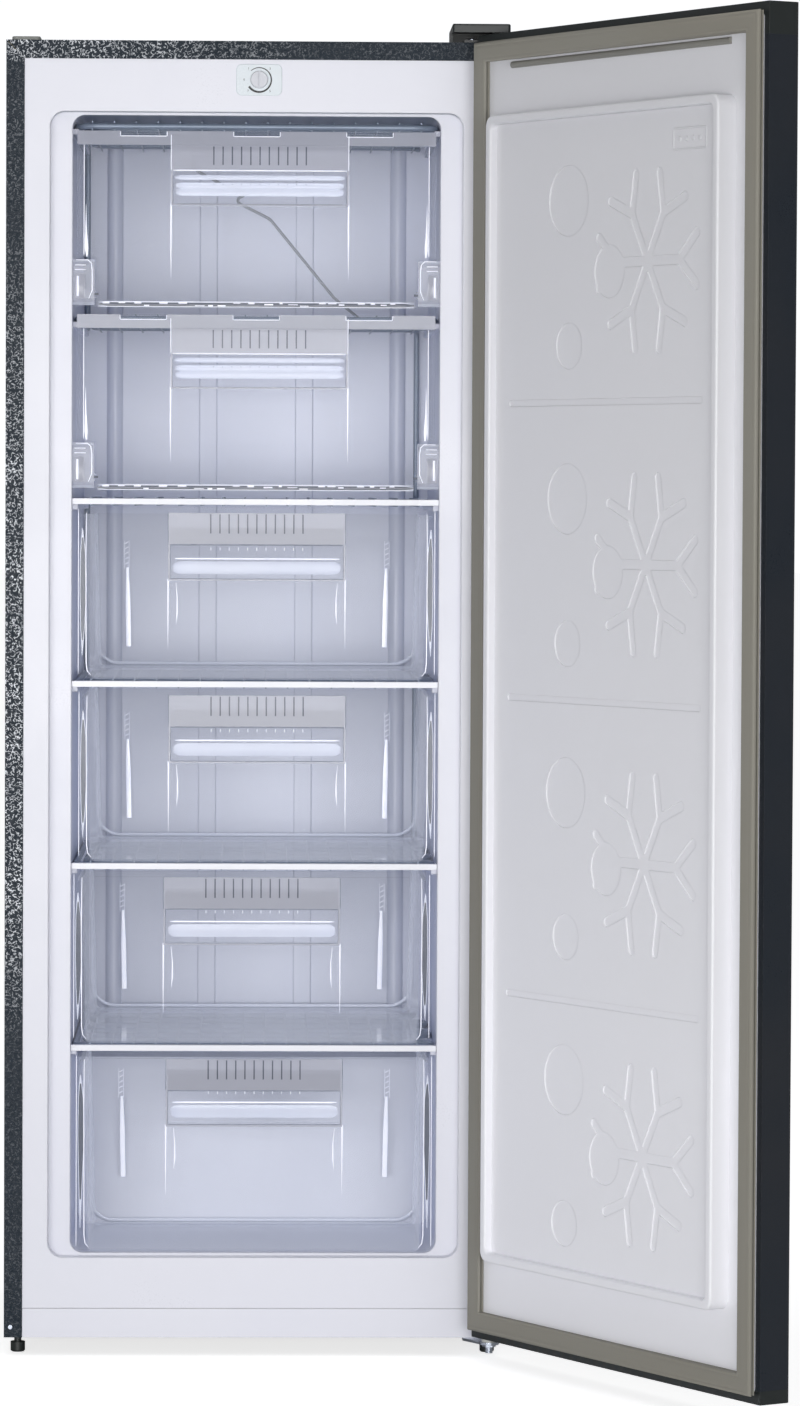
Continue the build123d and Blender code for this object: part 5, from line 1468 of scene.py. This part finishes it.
@dataclass
class Thermostat:
    """The dial above the mouth, with its printed scale."""

    ring_radius: float = 13.2
    thin: float = 0.7
    thick: float = 2.4
    start: float = 132.0
    end: float = -147.0
    steps: int = 72
    ink_height: float = 0.12
    digits: tuple[tuple[str, float, float], ...] = (
        ("1", -11.5, 12.2),
        ("3", 11.8, 12.2),
        ("5", 11.8, -12.2),
        ("7", -12.2, -12.2),
        ("0", -16.4, 0.0),
    )
    digit_size: float = 3.4

    def build(self) -> None:
        """Dresses the nodes and prints the scale."""
        WORKSHOP.dress(Finishes.plate, "thermostat_plate")
        WORKSHOP.dress(Finishes.knob, "thermostat_knob")
        WORKSHOP.dress(Finishes.black, "thermostat_body")
        low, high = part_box("thermostat_plate")
        self.middle = Vector(((low.x + high.x) / 2, low.y, (low.z + high.z) / 2))
        self.print_ring()
        self.print_digits()

    def print_ring(self) -> None:
        """Prints the arc that grows thicker towards the cold end."""
        points = []
        for step in range(self.steps + 1):
            share = step / self.steps
            angle = math.radians(self.start + (self.end - self.start) * share)
            half = (self.thin + (self.thick - self.thin) * share) / 2
            for radius in (self.ring_radius - half, self.ring_radius + half):
                for lift in (0.0, self.ink_height):
                    offset = Vector((radius * math.cos(angle), -lift, radius * math.sin(angle)))
                    points.append(self.middle + offset * MILLIMETRE)
        faces = [(0, 1, 3, 2)]
        for step in range(self.steps):
            at = 4 * step
            for first, second in ((0, 1), (1, 3), (3, 2), (2, 0)):
                faces.append((at + first, at + 4 + first, at + 4 + second, at + second))
        last = 4 * self.steps
        faces.append((last, last + 2, last + 3, last + 1))
        mesh = mesh_of("dial_arc", points, faces)
        WORKSHOP.piece("dial_arc", mesh, Finishes.ink, Body.CABINET, Slot.PRINT)

    def print_digits(self) -> None:
        """Prints the plain numbers at the plate's corners."""
        for digit, across, up in self.digits:
            curve = bpy.data.curves.new(f"dial_number_{digit}", "FONT")
            curve.body = digit
            curve.size = self.digit_size * MILLIMETRE
            curve.extrude = self.ink_height * MILLIMETRE / 2
            curve.align_x = "CENTER"
            curve.align_y = "CENTER"
            curve.materials.append(WORKSHOP.material(Finishes.ink))
            made = stand(curve.name, curve)
            offset = Vector((across, -self.ink_height / 2, up)) * MILLIMETRE
            made.matrix_world = Matrix.Translation(self.middle + offset) @ Matrix.Rotation(
                math.radians(90), 4, "X"
            )
            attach(made, Body.CABINET.value)
            LOG.info("%s", made.name)


@dataclass
class Hinges:
    """The top and bottom hinge with their screws and cover."""

    def build(self) -> None:
        """Dresses the hinge nodes."""
        WORKSHOP.dress(Finishes.black_steel, "top_hinge_bracket")
        WORKSHOP.dress(Finishes.zinc, "top_hinge_screws", "bottom_hinge_bracket", "bottom_hinge_screws")
        WORKSHOP.dress(Finishes.black, "top_hinge_cover")
        WORKSHOP.dress(Finishes.nylon, "hinge_washer", "door_hinge_bushes")


@dataclass
class Door:
    """The door with its liner, gasket and caps."""

    profile: tuple[tuple[float, float], ...] = (
        (1.2, 0.0), (0.6, 0.9), (0.9, 1.6), (3.4, 2.2), (3.6, 2.7), (0.7, 3.4),
        (0.1, 4.2), (0.0, 5.4), (0.15, 6.8), (0.7, 7.8), (1.7, 8.4), (3.2, 8.5),
        (3.9, 8.25), (4.5, 8.2), (5.1, 8.45), (8.0, 8.5), (14.0, 8.5), (16.9, 8.45),
        (17.5, 8.2), (18.1, 8.25), (18.8, 8.5), (20.2, 8.35), (21.3, 7.7), (21.85, 6.7),
        (22.0, 5.6), (21.6, 4.4), (19.4, 3.4), (19.3, 2.9), (21.5, 1.9), (21.6, 0.6),
        (20.8, 0.0),
    )

    def build(self) -> None:
        """Dresses the door's nodes and draws its gasket."""
        WORKSHOP.dress(Finishes.door_paint, "door_skin")
        WORKSHOP.dress(Finishes.black, "door_top_cap", "door_bottom_cap")
        WORKSHOP.dress(Finishes.door_liner, "door_liner")
        WORKSHOP.dress(Finishes.gasket, "door_gasket")
        WORKSHOP.dress(Finishes.magnet, "gasket_magnets")
        WORKSHOP.dress(Finishes.strip, "door_top_strip")
        WORKSHOP.dress(Finishes.foam, "door_foam")
        self.shut = ShutDoor.of_joint("door_hinge")
        self.draw_gasket()

    def draw_gasket(self) -> None:
        """Draws the gasket as its folded profile along the door's edge, with mitred corners."""
        low, high = self.shut.box("door_gasket")
        turn = self.shut.turn()
        points = []
        for inwards, proud in self.profile:
            inset = inwards * MILLIMETRE
            depth = low.y + proud * MILLIMETRE
            corners = (
                (low.x + inset, low.z + inset),
                (high.x - inset, low.z + inset),
                (high.x - inset, high.z - inset),
                (low.x + inset, high.z - inset),
            )
            points += [turn @ Vector((x, depth, z)) for x, z in corners]
        rows = len(self.profile)
        faces = []
        for row in range(rows):
            following = (row + 1) % rows
            for corner in range(4):
                ahead = (corner + 1) % 4
                faces.append(
                    (4 * row + corner, 4 * row + ahead, 4 * following + ahead, 4 * following + corner)
                )
        mesh = mesh_of("gasket_profile", points, faces, smooth=50.0)
        WORKSHOP.piece(
            "gasket_profile", mesh, Finishes.gasket, Body.DOOR, Slot.GASKET, ("door_gasket",)
        )


@dataclass
class CoolingUnit:
    """The compressor, its mounts, the pipes and the condenser on the back."""

    def build(self) -> None:
        """Dresses the cooling unit's nodes."""
        WORKSHOP.dress(Finishes.black_steel, "compressor", "condenser_coil", "condenser_wires")
        WORKSHOP.dress(Finishes.rubber, "compressor_mounts")
        WORKSHOP.dress(Finishes.zinc, "compressor_bolts")
        WORKSHOP.dress(Finishes.black, "terminal_cover", "condenser_brackets")
        WORKSHOP.dress(Finishes.copper, "filter_drier", "refrigerant_pipes")


# ------------------------------------------------------------------ studio
@dataclass(frozen=True)
class SoftBox:
    """A soft lamp."""

    name: str
    place: tuple[float, float, float]
    target: tuple[float, float, float]
    width: float
    height: float
    watts: float

    def build(self) -> None:
        """Hangs the lamp."""
        lamp = bpy.data.lights.new(self.name, "AREA")
        lamp.shape = "RECTANGLE"
        lamp.size = self.width
        lamp.size_y = self.height
        lamp.energy = self.watts
        made = stand(self.name, lamp)
        made.location = self.place
        way = Vector(self.target) - Vector(self.place)
        made.rotation_euler = way.to_track_quat("-Z", "Y").to_euler()


@dataclass
class Studio:
    """A pale floor, soft light from all round and the camera."""

    camera_place: tuple[float, float, float] = (0.0038, -6.4243, 0.9492)
    camera_tilt: float = 87.845
    camera_pan: float = -1.439
    camera_roll: float = 0.269
    lens: float = 144.5
    camera_reach: float = 200.0
    floor_reach: float = 60.0
    floor_colours: tuple[Colour, Colour] = ((0.93, 0.93, 0.935), (0.95, 0.95, 0.95))
    floor_cloud: float = 0.7
    floor_roughness: float = 0.9
    sky_colour: Colour = (0.97, 0.98, 1.0)
    sky_low: float = 0.26
    sky_high: float = 0.26
    floor_glow: float = 0.72
    backdrop: float = 1.04
    lamps: tuple[SoftBox, ...] = (
        SoftBox("front", (-0.4, -7.0, 0.8), (0.0, 0.0, 0.55), 6.0, 1.4, 262.0),
        SoftBox("top", (0.0, -0.5, 4.0), (0.0, -0.5, 0.0), 4.0, 4.0, 24.0),
    )

    def build(self) -> None:
        """Builds the floor, the sky, the lamps and the camera."""
        self.lay_floor()
        self.light_sky()
        for lamp in self.lamps:
            lamp.build()
        self.set_camera()
        settings = bpy.context.scene.view_settings
        settings.view_transform = "Standard"
        settings.look = "None"

    def lay_floor(self) -> None:
        """Lays the pale floor."""
        reach = self.floor_reach
        corners = [(-reach, -reach, 0), (reach, -reach, 0), (reach, reach, 0), (-reach, reach, 0)]
        mesh = mesh_of("studio_floor", [Vector(corner) for corner in corners], [(0, 1, 2, 3)])
        floor = stand("studio_floor", mesh)
        material, graph, shader = open_material("pale_floor")
        tone = graph.noise(graph.place(), self.floor_cloud)
        graph.feed(shader.inputs["Base Color"], graph.mix(tone, *self.floor_colours))
        shader.inputs["Roughness"].default_value = self.floor_roughness
        seen = graph.node("ShaderNodeLightPath").outputs["Is Camera Ray"]
        graph.feed(shader.inputs["Emission Color"], seen)
        shader.inputs["Emission Strength"].default_value = self.floor_glow
        mesh.materials.append(material)

    def light_sky(self) -> None:
        """Lights the room evenly, with a brighter backdrop that only the camera sees."""
        world = bpy.data.worlds.new("studio")
        bpy.context.scene.world = world
        world.use_nodes = True
        graph = Graph(world.node_tree)
        background = graph.node("ShaderNodeBackground")
        output = graph.node("ShaderNodeOutputWorld")
        graph.feed(output.inputs[0], background.outputs[0])
        way = graph.node("ShaderNodeTexCoord").outputs["Generated"]
        height = graph.parts(way)[2]
        strength = graph.spread(height, -1.0, 1.0, self.sky_low, self.sky_high)
        seen = graph.node("ShaderNodeLightPath").outputs["Is Camera Ray"]
        background.inputs["Color"].default_value = (*self.sky_colour, 1.0)
        level = graph.node("ShaderNodeMix")
        graph.feed(level.inputs[0], seen)
        graph.feed(level.inputs[2], strength)
        level.inputs[3].default_value = self.backdrop
        graph.feed(background.inputs["Strength"], level.outputs[0])

    def set_camera(self) -> None:
        """Stands the camera where the photograph was taken."""
        lens = bpy.data.cameras.new("camera")
        lens.lens = self.lens
        lens.clip_end = self.camera_reach
        camera = stand("camera", lens)
        aim = Matrix.Rotation(math.radians(self.camera_pan), 4, "Z") @ Matrix.Rotation(
            math.radians(self.camera_tilt), 4, "X"
        )
        roll = Matrix.Rotation(math.radians(self.camera_roll), 4, "Z")
        camera.matrix_world = Matrix.Translation(self.camera_place) @ aim @ roll
        bpy.context.scene.camera = camera


def main() -> None:
    """Builds the freezer's looks, piece by piece, and the studio around it."""
    logging.basicConfig(level=logging.INFO, format="%(message)s")
    for part in (
        Shell(),
        Interior(),
        ClearFronts(),
        Thermostat(),
        Hinges(),
        Door(),
        CoolingUnit(),
        Studio(),
    ):
        LOG.info("building %s", type(part).__name__)
        part.build()


if __name__ == "__main__":
    main()
